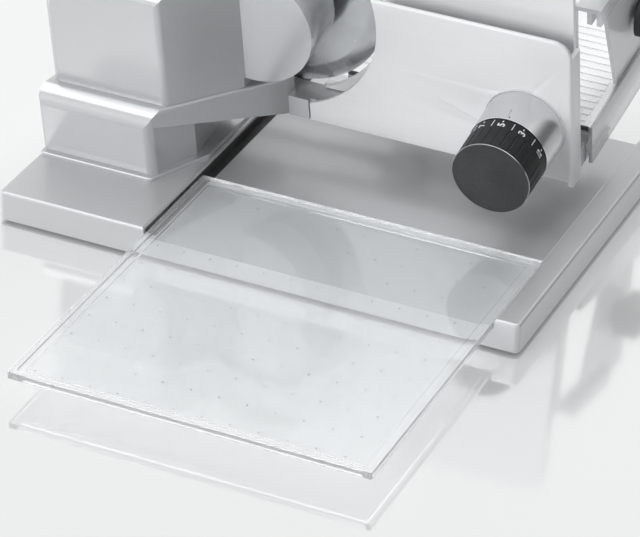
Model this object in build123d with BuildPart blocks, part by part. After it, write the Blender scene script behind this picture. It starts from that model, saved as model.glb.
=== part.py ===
from build123d import *
from math import acos, atan, cos, pi, radians, sin, sqrt, tan
import os

os.makedirs("parts", exist_ok=True)

# Electric food slicer: a flat base with a serving tray in its channel, and over it an upper
# unit that leans towards the tray. The origin is the underside of the front left rubber foot,
# +X runs along the front edge, +Y away from the tray side, +Z up. Millimetres.

# Shared fits
running_gap = 0.05
sliding_gap = 0.4
seat_gap = 0.02
cut_over = 2.0
full_turn = 360.0
top_angle = 90.0

# Base
base_width = 410.0
base_depth = 287.0
base_height = 23.0
base_wall = 4.0
base_corner_radius = 4.0
base_edge_radius = 2.2
deck_width = 118.5
rail_width = 19.0
channel_depth = 8.0
cover_thickness = 1.5
cover_margin = 2.5
rubber_foot_radius = 11.0
rubber_foot_height = 2.5
rubber_foot_inset = 14.0
rubber_foot_edge = 0.8
rubber_plug_radius = 4.0
cover_screw_radius = 2.0
cover_screw_head = 3.8
cover_screw_length = 8.0
cover_screw_inset = 30.0
cover_boss_radius = 5.0
inlet_radius = 6.0
inlet_bore_radius = 3.4
inlet_flange_radius = 8.5
inlet_flange_depth = 2.0
inlet_depth = 8.0
inlet_from_left = 32.0

base_left = -rubber_foot_inset
base_front = -rubber_foot_inset
base_bottom = rubber_foot_height
base_top = base_bottom + base_height
base_right = base_left + base_width
base_back = base_front + base_depth
channel_floor = base_top - channel_depth
channel_left = base_left + deck_width
channel_right = base_right - rail_width

# Black guide strip along the channel's left wall
strip_floor_width = 7.5
strip_floor_thickness = 0.9
strip_wall_thickness = 1.0
strip_proud = 0.1
strip_wall_height = 6.6

# Serving tray
tray_length = 296.0
tray_side_gap = 0.6
tray_lift = 0.5
tray_height = 5.0
tray_floor = 2.0
tray_rim = 5.0
tray_step = 9.0
tray_step_height = 1.2
tray_corner_radius = 1.5
tray_edge_radius = 0.8
tray_reach_back = 92.0

# Upper unit: it leans by this angle, about a line above the plinth
lean_angle = 9.5
unit_back = 66.0
plinth_height = 3.0
plinth_front = 60.0
plinth_back = 279.0
plinth_left = 1.0
plinth_front_width = 93.0
plinth_width = 115.5
plinth_widest = 112.0
plinth_corner_radius = 4.0
plinth_edge_radius = 1.2

unit_base_z = base_top + plinth_height
away = Vector(0, cos(radians(lean_angle)), sin(radians(lean_angle)))
upright = Vector(0, -sin(radians(lean_angle)), cos(radians(lean_angle)))
unit_origin = Vector(base_left, base_front + unit_back, unit_base_z)

# Depths that the leaning unit's pieces share, from its front edge
casing_back_depth = 116.0
gear_room = 40.0
arm_thickness = 12.3
blade_clear = 15.0
carriage_clear = 3.0
casing_plate_depth = casing_back_depth - gear_room
foot_depth = casing_back_depth
arm_face_depth = foot_depth - arm_thickness
carrier_face_depth = arm_face_depth
blade_face_depth = casing_back_depth + blade_clear
carriage_front_depth = blade_face_depth + carriage_clear

# Drive foot with its arm
foot_side = 1.5
foot_front_width = 91.5
foot_width = 107.2
foot_widest_depth = 42.0
foot_back_width = 100.0
foot_drop = 50.0
foot_top_height = 57.0
foot_top_slope = 0.235
foot_wall = 3.0
foot_corner_radius = 8.0
foot_small_radius = 3.0
foot_recess = 2.0
foot_recess_depth = 4.6
foot_edge_radius = 2.8
foot_shoulder_radius = 13.0
arm_end = 154.0
arm_low_start = 42.9
arm_low_slope = 0.4185
foot_screw_radius = 2.0
foot_screw_head = 3.8
foot_screw_head_height = 2.0
foot_screw_length = 14.0
foot_screw_edge = 13.0
foot_screw_layout = [
    (8.0, foot_screw_edge),
    (84.0, 6.5),
    (8.0, foot_depth - foot_screw_edge),
    (96.0, foot_depth - foot_screw_edge),
]
foot_boss_radius = 5.0
foot_boss_height = 9.0

# Blade and its drive
blade_across = 141.0
blade_height = 97.0
blade_radius = 85.0
blade_thickness = 2.0
blade_bevel = 13.0
blade_edge_thickness = 0.3
blade_pilot_radius = 8.0
blade_pilot_length = 1.6
blade_screw_circle = 18.0
blade_screw_count = 3
blade_screw_radius = 2.0
blade_screw_head = 3.4
blade_screw_head_height = 1.2
blade_screw_length = 5.0
shaft_radius = 6.0
shaft_setback = 4.5
shaft_front_depth = casing_plate_depth + shaft_setback
shaft_flange_radius = 27.0
shaft_flange_thickness = 5.0
gear_module = 1.5
gear_teeth = 60
pinion_teeth = 15
pressure_angle = 20.0
tooth_top_share = 0.8
tooth_root_share = 1.1
tooth_backlash = 0.2
flank_steps = 4
gear_face = 12.0
gear_setback = 14.0
gear_depth = casing_plate_depth + gear_setback
gear_hub_radius = 12.0
gear_rim = 6.0
gear_web = 5.0
bearing_outer_radius = 13.0
bearing_width = 7.0
bearing_groove_width = 2.6
bearing_groove_depth = 0.8
bearing_seat_wall = 3.0
bearing_lip = 1.0
motor_radius = 22.0
motor_wall = 2.5
motor_length = 36.0
motor_front_depth = casing_plate_depth - motor_length
motor_shaft_radius = 4.0
motor_passage_radius = 7.0
rotor_radius = 17.0
rotor_front_room = 10.0
rotor_back_room = 8.0
rotor_front_depth = motor_front_depth + rotor_front_room
rotor_back_depth = casing_plate_depth - rotor_back_room
rotor_slots = 9
rotor_slot_width = 2.2
rotor_slot_depth = 5.0
commutator_radius = 8.0
commutator_length = 6.0
motor_screw_circle = 13.0
motor_screw_count = 3
motor_screw_radius = 1.5
motor_screw_head = 2.8
motor_screw_head_height = 1.6
motor_screw_length = 5.0

gear_pitch_radius = gear_module * gear_teeth / 2
pinion_pitch_radius = gear_module * pinion_teeth / 2
motor_across = blade_across - gear_pitch_radius - pinion_pitch_radius
motor_height = blade_height
blade_front_depth = blade_face_depth - blade_thickness
blade_axis = (blade_across, blade_height)
motor_axis = (motor_across, motor_height)

# Upper casings
casing_wall = 3.0
casing_left = 6.0
casing_front_depth = 17.0
casing_plate_thickness = 3.0
casing_boss_radius = 50.0
casing_corner_radius = 26.0
casing_front_radius = 6.0
casing_arm_inset = 2.5
casing_neck = 134.0
casing_low = 10.0
plate_screw_radius = 1.6
plate_screw_head = 3.0
plate_screw_head_height = 1.6
plate_screw_length = 10.0
plate_boss_radius = 4.5
plate_screw_spots = [(16.0, 62.0), (16.0, 112.0), (38.0, 137.0), (119.0, 49.5)]

# Switch on the casing's top
switch_across = 56.0
switch_depth = 44.0
bezel_length = 40.0
bezel_width = 20.0
bezel_height = 1.8
bezel_corner = 3.0
button_length = 14.0
button_width = 12.0
button_spacing = 18.0
button_proud = 3.2
button_flange = 1.2
button_flange_height = 1.5
button_corner = 1.5
button_stroke = 2.5
switch_block_height = 10.0
switch_block_end = 3.0

# Control board inside the drive foot
board_width = 62.0
board_depth = 70.0
board_thickness = 1.6
board_post_radius = 3.0
board_post_height = 5.0
board_post_inset = 5.0
board_left = 18.0
board_back = 18.0
board_chip = 14.0
board_chip_height = 3.0
board_can_radius = 6.0
board_can_height = 12.0

# Blade guard
guard_gap = 1.2
guard_width = 6.0
guard_thickness = 4.0
guard_lead = 3.5
guard_front_depth = blade_face_depth - guard_lead
guard_start_angle = 72.0
guard_end_angle = 277.0
guard_post_radius = 4.0
guard_post_angles = (154.0, 178.0, 202.0)
guard_screw_radius = 1.6
guard_screw_head = 3.0
guard_screw_head_height = 1.6
guard_screw_length = 10.0

# Bridge beam under the fence
beam_setback = 0.5
beam_step_reach = 21.8
beam_tongue = 7.0
beam_front_depth = carrier_face_depth + beam_setback
beam_step_depth = beam_front_depth + beam_step_reach
beam_back_depth = beam_step_depth + beam_tongue
beam_low = -2.0
beam_top = 15.8
beam_wall = 3.5
beam_end = 377.5
beam_lip_end = 170.5
beam_clear_start = 173.5
beam_tongue_left = 50.0
beam_screw_radius = 2.0
beam_screw_head = 3.6
beam_screw_head_height = 2.0
beam_screw_length = 9.0
beam_screw_spots = [(66.0, 7.0), (88.0, 7.0), (128.0, 8.0), (144.0, 8.0)]
end_cap_thickness = 2.8
end_cap_plug = 5.0

# Fence carrier, the fixed wall that holds the knob
carrier_thickness = 3.0
carrier_left = 172.0
carrier_low = -1.5
carrier_top = 122.0
carrier_arc_gap = 3.8
carrier_right = 381.0
cheek_thickness = 3.0
cheek_depth = 17.5
cheek_low = -8.0
cheek_tip = 2.5
carrier_top_radius = 14.0
carrier_edge_radius = 2.0
carrier_screw_radius = 1.6
carrier_screw_head = 3.0
carrier_screw_head_height = 1.6
carrier_screw_grip = 2.0
carrier_screw_spots = [(190.0, 5.0), (290.0, 5.0), (366.0, 5.0)]

# Fence plate and its guide
fence_setting = 5.0
fence_range = 15.0
fence_thickness = 4.0
fence_left = 172.0
fence_low = 17.0
fence_top = 178.0
fence_right = 376.0
fence_arc_gap = 2.5
fence_corner_radius = 14.0
sleeve_radius = 18.0
sleeve_length = 46.0
sleeve_flange_radius = 24.0
sleeve_flange_thickness = 3.0
nut_length = 14.0
nut_relief_radius = 9.0
fence_screw_circle = 21.0
fence_screw_radius = 1.5
fence_screw_head = 2.8
fence_screw_head_height = 1.6
fence_screw_length = 5.5
fence_screw_count = 3
fence_screw_angle = 30.0
shoe_width = 14.0
shoe_thickness = 3.0
shoe_left = 236.0
shoe_low = 8.0
shoe_high = 34.0

# Knob and its collar
knob_across = 345.4
knob_height = 41.6
collar_length = 33.7
collar_front_depth = carrier_face_depth - collar_length
collar_front_radius = 30.0
collar_back_radius = 30.9
collar_foot_radius = 31.6
collar_foot_length = 1.6
collar_ring_length = 0.9
collar_ring_step = 0.3
collar_inner_wall = 3.0
collar_outer_wall = 3.0
collar_lip = 2.4
collar_lip_thickness = 3.0
collar_floor = 6.0
collar_mark_start = 2.0
collar_mark_length = 9.5
collar_mark_width = 0.7
collar_mark_depth = 0.3
collar_mark_offset = 0.8
collar_screw_circle = 25.0
collar_screw_count = 3
collar_screw_radius = 1.6
collar_screw_head = 3.0
collar_screw_head_height = 1.6
collar_screw_length = 6.5
knob_length = 31.2
knob_front_depth = collar_front_depth - knob_length
knob_radius = 29.6
knob_gap = 0.4
knob_wall = 3.2
knob_face_wall = 3.0
knob_hub_radius = 9.0
knob_hub_length = 16.0
knob_flutes = 28
knob_flute_radius = 1.3
knob_flute_bite = 0.4
knob_band_length = 10.5
knob_tail_wall = 2.2
knob_tail_hook = 1.6
knob_tail_hook_length = 2.0
knob_tail_web = 3.0
cap_dome = 2.6
cap_edge = 0.7
cap_inset = 0.3
trim_thickness = 0.6
trim_width = 2.0
spindle_radius = 6.0
spindle_reach = 5.3
spindle_back_depth = carrier_face_depth + spindle_reach
knob_axis = (knob_across, knob_height)

# Carriage guide
rod_inset = 16.0
rod_spread = 46.0
rod_front_depth = carriage_front_depth + rod_inset
rod_back_depth = rod_front_depth + rod_spread
rod_height = -12.5
rod_radius = 5.0
rod_left = 10.0
rod_right = 370.0
bracket_width = 14.0
bracket_lead = 23.5
bracket_tail = 10.0
bracket_start_depth = rod_front_depth - bracket_lead
bracket_end_depth = rod_back_depth + bracket_tail
bracket_low = -19.0
bracket_high = -5.8
bracket_left_start = 8.0
bracket_right_start = 358.0
bracket_leg_depth = 6.5
bracket_screw_radius = 1.8
bracket_screw_head = 2.8
bracket_screw_head_height = 2.0
bracket_screw_reach = 6.0

# Carriage
carriage_left = 190.0
carriage_right = 385.0
carriage_depth = 134.0
carriage_back_depth = carriage_front_depth + carriage_depth
carriage_top = 28.1
carriage_lip_low = 20.5
carriage_wall = 3.0
carriage_rim = 2.0
carriage_recess = 0.7
carriage_skirt_low = -4.6
table_seat = 24.2
table_front_step = 1.2
rib_pitch = 7.6
rib_width = 3.6
rib_height = 0.8
rib_border = 5.0
leg_length = 30.0
leg_half_width = 9.0
leg_low = -20.0
leg_left_start = 216.0
leg_right_start = 322.0
leg_rear_start = 269.0
bush_wall = 2.0
push_wall_thickness = 3.0
push_wall_setback = 56.0
push_wall_start_depth = carriage_front_depth + push_wall_setback
push_wall_top = 118.0
push_wall_lean = 24.0
grip_setback = 102.0
grip_depth = carriage_front_depth + grip_setback
grip_height = 66.0
grip_length = 50.0
grip_width = 26.0
grip_reach = 20.0
grip_radius = 6.0
grip_neck = 5.0
grip_neck_radius = 8.0

# Food holder
holder_setback = 16.0
holder_depth = carriage_front_depth + holder_setback
holder_thickness = 3.5
holder_left = 222.0
holder_right = 367.0
holder_low = 31.5
holder_top = 122.0
holder_corner_radius = 12.0
hook_thickness = 3.5
hook_length = 76.0
hook_drop = 10.0
spike_plate_thickness = 1.0
spike_plate_width = 120.0
spike_plate_height = 66.0
spike_rows = 3
spike_columns = 5
spike_pitch = 22.0
spike_radius = 1.2
spike_tip_radius = 0.3
spike_length = 3.0
spike_height = 74.0
handle_across = 294.0
handle_height = 84.0
handle_neck_length = 14.0
handle_length = 18.0
handle_radius = 16.0
handle_round = 5.0
handle_neck_radius = 8.0


# Placing in the leaning frame: across, depth away from the tray side, height above the plinth
def spot(across, depth, height):
    return unit_origin + Vector(across, 0, 0) + away * depth + upright * height


def depth_of(point):
    return (point - unit_origin).dot(away)


def height_of(point):
    return (point - unit_origin).dot(upright)


def wall(depth):
    # seen from the tray side: sketch x across, sketch y up; extrude by -t to go away
    return Plane(origin=spot(0, depth, 0), x_dir=(1, 0, 0), z_dir=tuple(away * -1))


def deck(height):
    # seen from above: sketch x across, sketch y away; extrude by t to go up
    return Plane(origin=spot(0, 0, height), x_dir=(1, 0, 0), z_dir=tuple(upright))


def side(across):
    # seen from the right: sketch x away, sketch y up; extrude by t to go right
    return Plane(origin=spot(across, 0, 0), x_dir=tuple(away), z_dir=(1, 0, 0))


def slab(centre, width, depth, low, high, mode=Mode.ADD):
    # box in the base's own directions
    with BuildSketch(Plane.XY.offset(low)) as area:
        with Locations(centre):
            Rectangle(width, depth)
    extrude(area.sketch, amount=high - low, mode=mode)


def pin_upright(centres, low, high, radius, mode=Mode.ADD):
    # round pins in the base's own directions
    with BuildSketch(Plane.XY.offset(low)) as area:
        with Locations(*centres):
            Circle(radius)
    extrude(area.sketch, amount=high - low, mode=mode)


def block(across, depth, height, mode=Mode.ADD):
    # box in the leaning directions, each side given as (from, to)
    with BuildSketch(wall(depth[0])) as area:
        with Locations(((across[0] + across[1]) / 2, (height[0] + height[1]) / 2)):
            Rectangle(across[1] - across[0], height[1] - height[0])
    extrude(area.sketch, amount=depth[0] - depth[1], mode=mode)


def pin_away(centres, start, end, radius, mode=Mode.ADD):
    # round pins that run away from the tray side, centres as (across, height)
    with BuildSketch(wall(start)) as area:
        with Locations(*centres):
            Circle(radius)
    extrude(area.sketch, amount=start - end, mode=mode)


def pin_across(centres, left, right, radius, mode=Mode.ADD):
    # round pins along the front edge, centres as (depth, height)
    with BuildSketch(side(left)) as area:
        with Locations(*centres):
            Circle(radius)
    extrude(area.sketch, amount=right - left, mode=mode)


def pin_up(centres, low, high, radius, mode=Mode.ADD):
    # round pins that stand on a leaning deck, centres as (across, depth)
    with BuildSketch(deck(low)) as area:
        with Locations(*centres):
            Circle(radius)
    extrude(area.sketch, amount=high - low, mode=mode)


def turned(axis_spot, points, mode=Mode.ADD):
    # solid of revolution about an axis that runs away, from (radius, depth) points
    across, height = axis_spot
    section_plane = Plane(origin=spot(across, 0, height), x_dir=(1, 0, 0), z_dir=tuple(upright))
    with BuildSketch(section_plane) as section:
        with BuildLine():
            Polyline(*points, close=True)
        make_face()
    revolve(section.sketch, axis=Axis(tuple(spot(across, 0, height)), tuple(away)), mode=mode)


def tube(axis_spot, inner, outer, start, end, mode=Mode.ADD):
    turned(axis_spot, [(inner, start), (outer, start), (outer, end), (inner, end)], mode)


def around(axis_spot, radius, angles):
    across, height = axis_spot
    return [
        (across + radius * cos(radians(angle)), height + radius * sin(radians(angle)))
        for angle in angles
    ]


def even_angles(count, first):
    return [first + full_turn * number / count for number in range(count)]


def slope_cut(start_height, slope, limit):
    # removes what lies between a slope that falls away from the tray side and a level
    far = casing_back_depth + cut_over
    with BuildSketch(side(-cut_over)) as profile:
        with BuildLine():
            Polyline(
                (-cut_over, start_height + slope * cut_over),
                (far, start_height - slope * far),
                (far, limit),
                (-cut_over, limit),
                close=True,
            )
        make_face()
    extrude(profile.sketch, amount=blade_across + casing_boss_radius + cut_over, mode=Mode.SUBTRACT)


def save(builder, label):
    builder.part.label = label
    export_step(builder.part, f"parts/{label}.step")


base_x = base_left + base_width / 2
base_y = base_front + base_depth / 2
deck_x = base_left + deck_width / 2
rail_x = base_right - rail_width / 2
channel_x = (channel_left + channel_right) / 2
channel_width = channel_right - channel_left
corner_spots = [
    (base_left + rubber_foot_inset, base_front + rubber_foot_inset),
    (base_right - rubber_foot_inset, base_front + rubber_foot_inset),
    (base_left + rubber_foot_inset, base_back - rubber_foot_inset),
    (base_right - rubber_foot_inset, base_back - rubber_foot_inset),
]
cover_rows = (base_front + cover_screw_inset, base_back - cover_screw_inset)
deck_screw_spots = [(deck_x, row) for row in cover_rows]
channel_screw_spots = [(channel_x, row) for row in cover_rows]
cover_screw_spots = deck_screw_spots + channel_screw_spots
foot_screw_spots = [
    (base_left + across, base_front + unit_back + along) for across, along in foot_screw_layout
]
bracket_screw_rows = (
    base_front + unit_back + bracket_start_depth + bracket_width,
    base_front + unit_back + bracket_end_depth - bracket_width,
)
bracket_left_middle = bracket_left_start + bracket_width / 2
bracket_right_middle = bracket_right_start + bracket_width / 2
bracket_screw_spots = [(base_left + bracket_left_middle, row) for row in bracket_screw_rows]
bracket_bolt_spot = (bracket_right_middle, bracket_start_depth + bracket_leg_depth / 2)

# Base body: deck on the left, channel, rail on the right, hollow from below
hollow_depth = base_depth - base_wall * 2
deck_ceiling = base_top - base_wall
channel_ceiling = channel_floor - base_wall
with BuildPart() as base_body:
    with BuildSketch(Plane.XY.offset(base_bottom)):
        with Locations((base_x, base_y)):
            RectangleRounded(base_width, base_depth, base_corner_radius)
    extrude(amount=base_height)
    slab((channel_x, base_y), channel_width, base_depth + cut_over * 2, channel_floor,
         base_top + cut_over, Mode.SUBTRACT)
    fillet(base_body.edges().group_by(Axis.Z)[-1], base_edge_radius)
    slab((deck_x, base_y), deck_width - base_wall * 2, hollow_depth, base_bottom, deck_ceiling,
         Mode.SUBTRACT)
    slab((channel_x, base_y), channel_width, hollow_depth, base_bottom, channel_ceiling, Mode.SUBTRACT)
    slab((rail_x, base_y), rail_width - base_wall * 2, hollow_depth, base_bottom, deck_ceiling,
         Mode.SUBTRACT)
    pin_upright(deck_screw_spots, base_bottom, deck_ceiling, cover_boss_radius)
    pin_upright(channel_screw_spots, base_bottom, channel_ceiling, cover_boss_radius)
    slab((base_x, base_y), base_width - cover_margin * 2, base_depth - cover_margin * 2, base_bottom,
         base_bottom + cover_thickness, Mode.SUBTRACT)
    pin_upright(cover_screw_spots, base_bottom, base_bottom + cover_screw_length + seat_gap,
                cover_screw_radius + seat_gap, Mode.SUBTRACT)
    pin_upright(foot_screw_spots, deck_ceiling, base_top, foot_screw_radius + seat_gap, Mode.SUBTRACT)
    pin_upright(bracket_screw_spots, deck_ceiling, base_top, bracket_screw_radius + seat_gap,
                Mode.SUBTRACT)
    # recess in the channel floor for the guide strip
    slab((channel_left + strip_floor_width / 2, base_y), strip_floor_width,
         base_depth - base_corner_radius * 2, channel_floor + strip_proud - strip_floor_thickness,
         channel_floor + cut_over, Mode.SUBTRACT)
    # hole for the supply inlet through the back wall
    with BuildSketch(Plane.XZ.offset(-base_back - cut_over)):
        with Locations((base_left + inlet_from_left, base_bottom + base_height / 2)):
            Circle(inlet_radius + seat_gap)
    extrude(amount=base_wall + cut_over * 2, mode=Mode.SUBTRACT)
save(base_body, "base_body")

with BuildPart() as base_cover:
    cover_gap = cover_margin + seat_gap
    slab((base_x, base_y), base_width - cover_gap * 2, base_depth - cover_gap * 2, base_bottom,
         base_bottom + cover_thickness)
    pin_upright(corner_spots, base_bottom, base_bottom + cover_thickness,
                rubber_plug_radius + seat_gap, Mode.SUBTRACT)
    pin_upright(cover_screw_spots, base_bottom, base_bottom + cover_thickness,
                cover_screw_radius + seat_gap, Mode.SUBTRACT)
save(base_cover, "base_cover")

foot_names = ["front_left_foot", "front_right_foot", "rear_left_foot", "rear_right_foot"]
for foot_name, foot_spot in zip(foot_names, corner_spots):
    with BuildPart() as rubber_foot:
        pin_upright([foot_spot], 0, rubber_foot_height, rubber_foot_radius)
        chamfer(rubber_foot.edges().group_by(Axis.Z)[0], rubber_foot_edge)
        pin_upright([foot_spot], base_bottom, base_bottom + cover_thickness - seat_gap,
                    rubber_plug_radius)
    save(rubber_foot, foot_name)

with BuildPart() as cord_inlet:
    inlet_spot = (base_left + inlet_from_left, base_bottom + base_height / 2)
    with BuildSketch(Plane.XZ.offset(-base_back)):
        with Locations(inlet_spot):
            Circle(inlet_radius)
    extrude(amount=inlet_depth)
    with BuildSketch(Plane.XZ.offset(-base_back)):
        with Locations(inlet_spot):
            Circle(inlet_flange_radius)
    extrude(amount=-inlet_flange_depth)
    with BuildSketch(Plane.XZ.offset(-base_back - inlet_flange_depth - cut_over)):
        with Locations(inlet_spot):
            Circle(inlet_bore_radius)
    extrude(amount=inlet_depth + inlet_flange_depth + cut_over * 2, mode=Mode.SUBTRACT)
save(cord_inlet, "cord_inlet")

# Guide strip: an L section, its floor part set into the channel floor
strip_low = channel_floor + strip_proud - strip_floor_thickness
strip_length = base_depth - base_corner_radius * 2
with BuildPart() as channel_guide_strip:
    slab((channel_left + strip_floor_width / 2, base_y), strip_floor_width - seat_gap * 2,
         strip_length - seat_gap * 2, strip_low, strip_low + strip_floor_thickness)
    slab((channel_left + seat_gap + strip_wall_thickness / 2, base_y), strip_wall_thickness,
         strip_length - seat_gap * 2, strip_low, strip_low + strip_wall_height)
save(channel_guide_strip, "channel_guide_strip")

# Serving tray: a low rim with a step inside it
tray_left = channel_left + seat_gap + strip_wall_thickness + tray_side_gap
tray_right = channel_right - tray_side_gap
tray_width = tray_right - tray_left
tray_spot = ((tray_left + tray_right) / 2, base_front + tray_reach_back - tray_length / 2)
tray_bottom = channel_floor + tray_lift
with BuildPart() as serving_tray:
    with BuildSketch(Plane.XY.offset(tray_bottom)):
        with Locations(tray_spot):
            RectangleRounded(tray_width, tray_length, tray_corner_radius)
    extrude(amount=tray_height)
    for tray_inset, tray_level in [(tray_rim, tray_floor + tray_step_height), (tray_step, tray_floor)]:
        with BuildSketch(Plane.XY.offset(tray_bottom + tray_level)):
            with Locations(tray_spot):
                RectangleRounded(tray_width - tray_inset * 2, tray_length - tray_inset * 2,
                                 tray_corner_radius)
        extrude(amount=tray_height, mode=Mode.SUBTRACT)
    fillet(serving_tray.edges().group_by(Axis.Z)[-1], tray_edge_radius)
save(serving_tray, "serving_tray")

# Plinth between the deck and the leaning unit
with BuildPart() as housing_plinth:
    with BuildSketch(Plane.XY.offset(base_top)) as plinth_area:
        with BuildLine():
            Polyline(
                (base_left + plinth_left, base_front + plinth_front),
                (base_left + plinth_front_width, base_front + plinth_front),
                (base_left + plinth_width, base_front + plinth_widest),
                (base_left + plinth_width, base_front + plinth_back),
                (base_left + plinth_left, base_front + plinth_back),
                close=True,
            )
        make_face()
        fillet(plinth_area.vertices(), plinth_corner_radius)
    extrude(amount=plinth_height)
    fillet(housing_plinth.edges().group_by(Axis.Z)[-1], plinth_edge_radius)
    pin_upright(foot_screw_spots, base_top, unit_base_z, foot_screw_radius + seat_gap, Mode.SUBTRACT)
    pin_upright(bracket_screw_spots, base_top, unit_base_z, bracket_screw_radius + seat_gap,
                Mode.SUBTRACT)
save(housing_plinth, "housing_plinth")


# Drive foot: a column and the arm that leaves it to the right, one casting
def column(inset):
    lean = (arm_end - foot_front_width) / arm_face_depth
    recess_across = foot_front_width + lean * foot_recess_depth
    with BuildSketch(deck(-foot_drop)) as area:
        with BuildLine():
            if inset:
                Polyline(
                    (foot_side, 0),
                    (foot_front_width, 0),
                    (foot_width, foot_widest_depth),
                    (foot_back_width, foot_depth),
                    (foot_side, foot_depth),
                    close=True,
                )
            else:
                Polyline(
                    (foot_side, 0),
                    (foot_front_width, 0),
                    (recess_across, foot_recess_depth),
                    (recess_across - foot_recess, foot_recess_depth),
                    (foot_width, foot_widest_depth),
                    (foot_back_width, foot_depth),
                    (foot_side, foot_depth),
                    close=True,
                )
        make_face()
        if inset:
            offset(amount=-inset, kind=Kind.INTERSECTION)
        else:
            front = area.vertices().group_by(Axis.Y)[0].sort_by(Axis.X)
            fillet(front[-1], foot_corner_radius)
            fillet(area.vertices().group_by(Axis.Y)[0].sort_by(Axis.X)[0], foot_small_radius)
            fillet(area.vertices().group_by(Axis.Y)[-1], foot_small_radius)
    extrude(area.sketch, amount=foot_drop + foot_top_height)


def arm(inset):
    with BuildSketch(deck(-foot_drop)) as area:
        with BuildLine():
            Polyline(
                (foot_front_width / 2, 0),
                (foot_front_width, 0),
                (arm_end, arm_face_depth),
                (arm_end, foot_depth),
                (foot_front_width / 2, foot_depth),
                close=True,
            )
        make_face()
        if inset:
            offset(amount=-inset, kind=Kind.INTERSECTION)
        else:
            fillet(area.vertices().group_by(Axis.Y)[0].sort_by(Axis.X)[-1], foot_corner_radius)
    extrude(area.sketch, amount=foot_drop + foot_top_height)


def shoulder_cut(inset):
    # removes what stands outside the arc that joins the front face to the sloping top
    rise = sqrt(foot_top_slope ** 2 + 1)
    radius = foot_shoulder_radius - inset
    centre_height = foot_top_height - foot_top_slope * foot_shoulder_radius - foot_shoulder_radius * rise
    turn = (pi / 2 - atan(foot_top_slope)) / 2
    far_depth = foot_shoulder_radius + radius * foot_top_slope / rise
    with BuildSketch(side(-cut_over)) as corner:
        with BuildLine():
            ThreePointArc(
                (foot_shoulder_radius - radius, centre_height),
                (foot_shoulder_radius - radius * cos(turn), centre_height + radius * sin(turn)),
                (far_depth, centre_height + radius / rise),
            )
            Polyline(
                (far_depth, centre_height + radius / rise),
                (far_depth, foot_top_height * 2),
                (-cut_over, foot_top_height * 2),
                (-cut_over, centre_height),
                (foot_shoulder_radius - radius, centre_height),
            )
        make_face()
    extrude(corner.sketch, amount=arm_end + cut_over, mode=Mode.SUBTRACT)


with BuildPart() as arm_blank:
    arm(0)
    slope_cut(arm_low_start, arm_low_slope, -foot_drop - foot_drop)

with BuildPart() as arm_space:
    arm(foot_wall)
    slope_cut(foot_top_height - foot_wall, foot_top_slope, foot_top_height * 2)
    shoulder_cut(foot_wall)

with BuildPart() as column_blank:
    column(0)

with BuildPart() as column_space:
    column(foot_wall)
    slope_cut(foot_top_height - foot_wall, foot_top_slope, foot_top_height * 2)
    shoulder_cut(foot_wall)

with BuildPart() as drive_foot:
    add(arm_blank.part)
    add(column_blank.part)
    slope_cut(foot_top_height, foot_top_slope, foot_top_height * 2)
    top_edges = drive_foot.edges().filter_by(
        lambda edge: abs(
            height_of(edge.center()) + foot_top_slope * depth_of(edge.center()) - foot_top_height
        ) < seat_gap
    )
    fillet(top_edges, foot_edge_radius)
    shoulder_cut(0)
    add(arm_space.part - column_blank.part, mode=Mode.SUBTRACT)
    add(column_space.part, mode=Mode.SUBTRACT)
    pin_upright(foot_screw_spots, unit_base_z, unit_base_z + foot_boss_height, foot_boss_radius)
    slab((base_x, base_y), base_width * 2, base_depth * 2, base_bottom - foot_drop, unit_base_z,
         Mode.SUBTRACT)
    pin_upright(foot_screw_spots, unit_base_z,
                deck_ceiling + foot_screw_length + seat_gap, foot_screw_radius + seat_gap, Mode.SUBTRACT)
    pin_away(beam_screw_spots, foot_depth - foot_wall, foot_depth, beam_screw_radius + seat_gap,
             Mode.SUBTRACT)
save(drive_foot, "drive_foot")

with BuildPart() as base_screws:
    pin_upright(cover_screw_spots, base_bottom, base_bottom + cover_screw_length, cover_screw_radius)
    pin_upright(cover_screw_spots, base_bottom - cover_thickness, base_bottom, cover_screw_head)
    pin_upright(foot_screw_spots, deck_ceiling, deck_ceiling + foot_screw_length, foot_screw_radius)
    pin_upright(foot_screw_spots, deck_ceiling - foot_screw_head_height, deck_ceiling, foot_screw_head)
save(base_screws, "base_screws")

# Control board on four posts above the plinth
board_low = unit_base_z + board_post_height
board_top = board_low + board_thickness
board_x = base_left + board_left + board_width / 2
board_y = base_front + unit_back + board_back + board_depth / 2
board_posts = [
    (board_x + across * (board_width / 2 - board_post_inset),
     board_y + along * (board_depth / 2 - board_post_inset))
    for across in (-1, 1)
    for along in (-1, 1)
]
with BuildPart() as control_board:
    pin_upright(board_posts, unit_base_z, board_low, board_post_radius)
    slab((board_x, board_y), board_width, board_depth, board_low, board_top)
    slab((board_x, board_y), board_chip, board_chip, board_top, board_top + board_chip_height)
    pin_upright([(board_x + board_chip, board_y + board_chip), (board_x - board_chip, board_y - board_chip)],
                board_top, board_top + board_can_height, board_can_radius)
save(control_board, "control_board")

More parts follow.
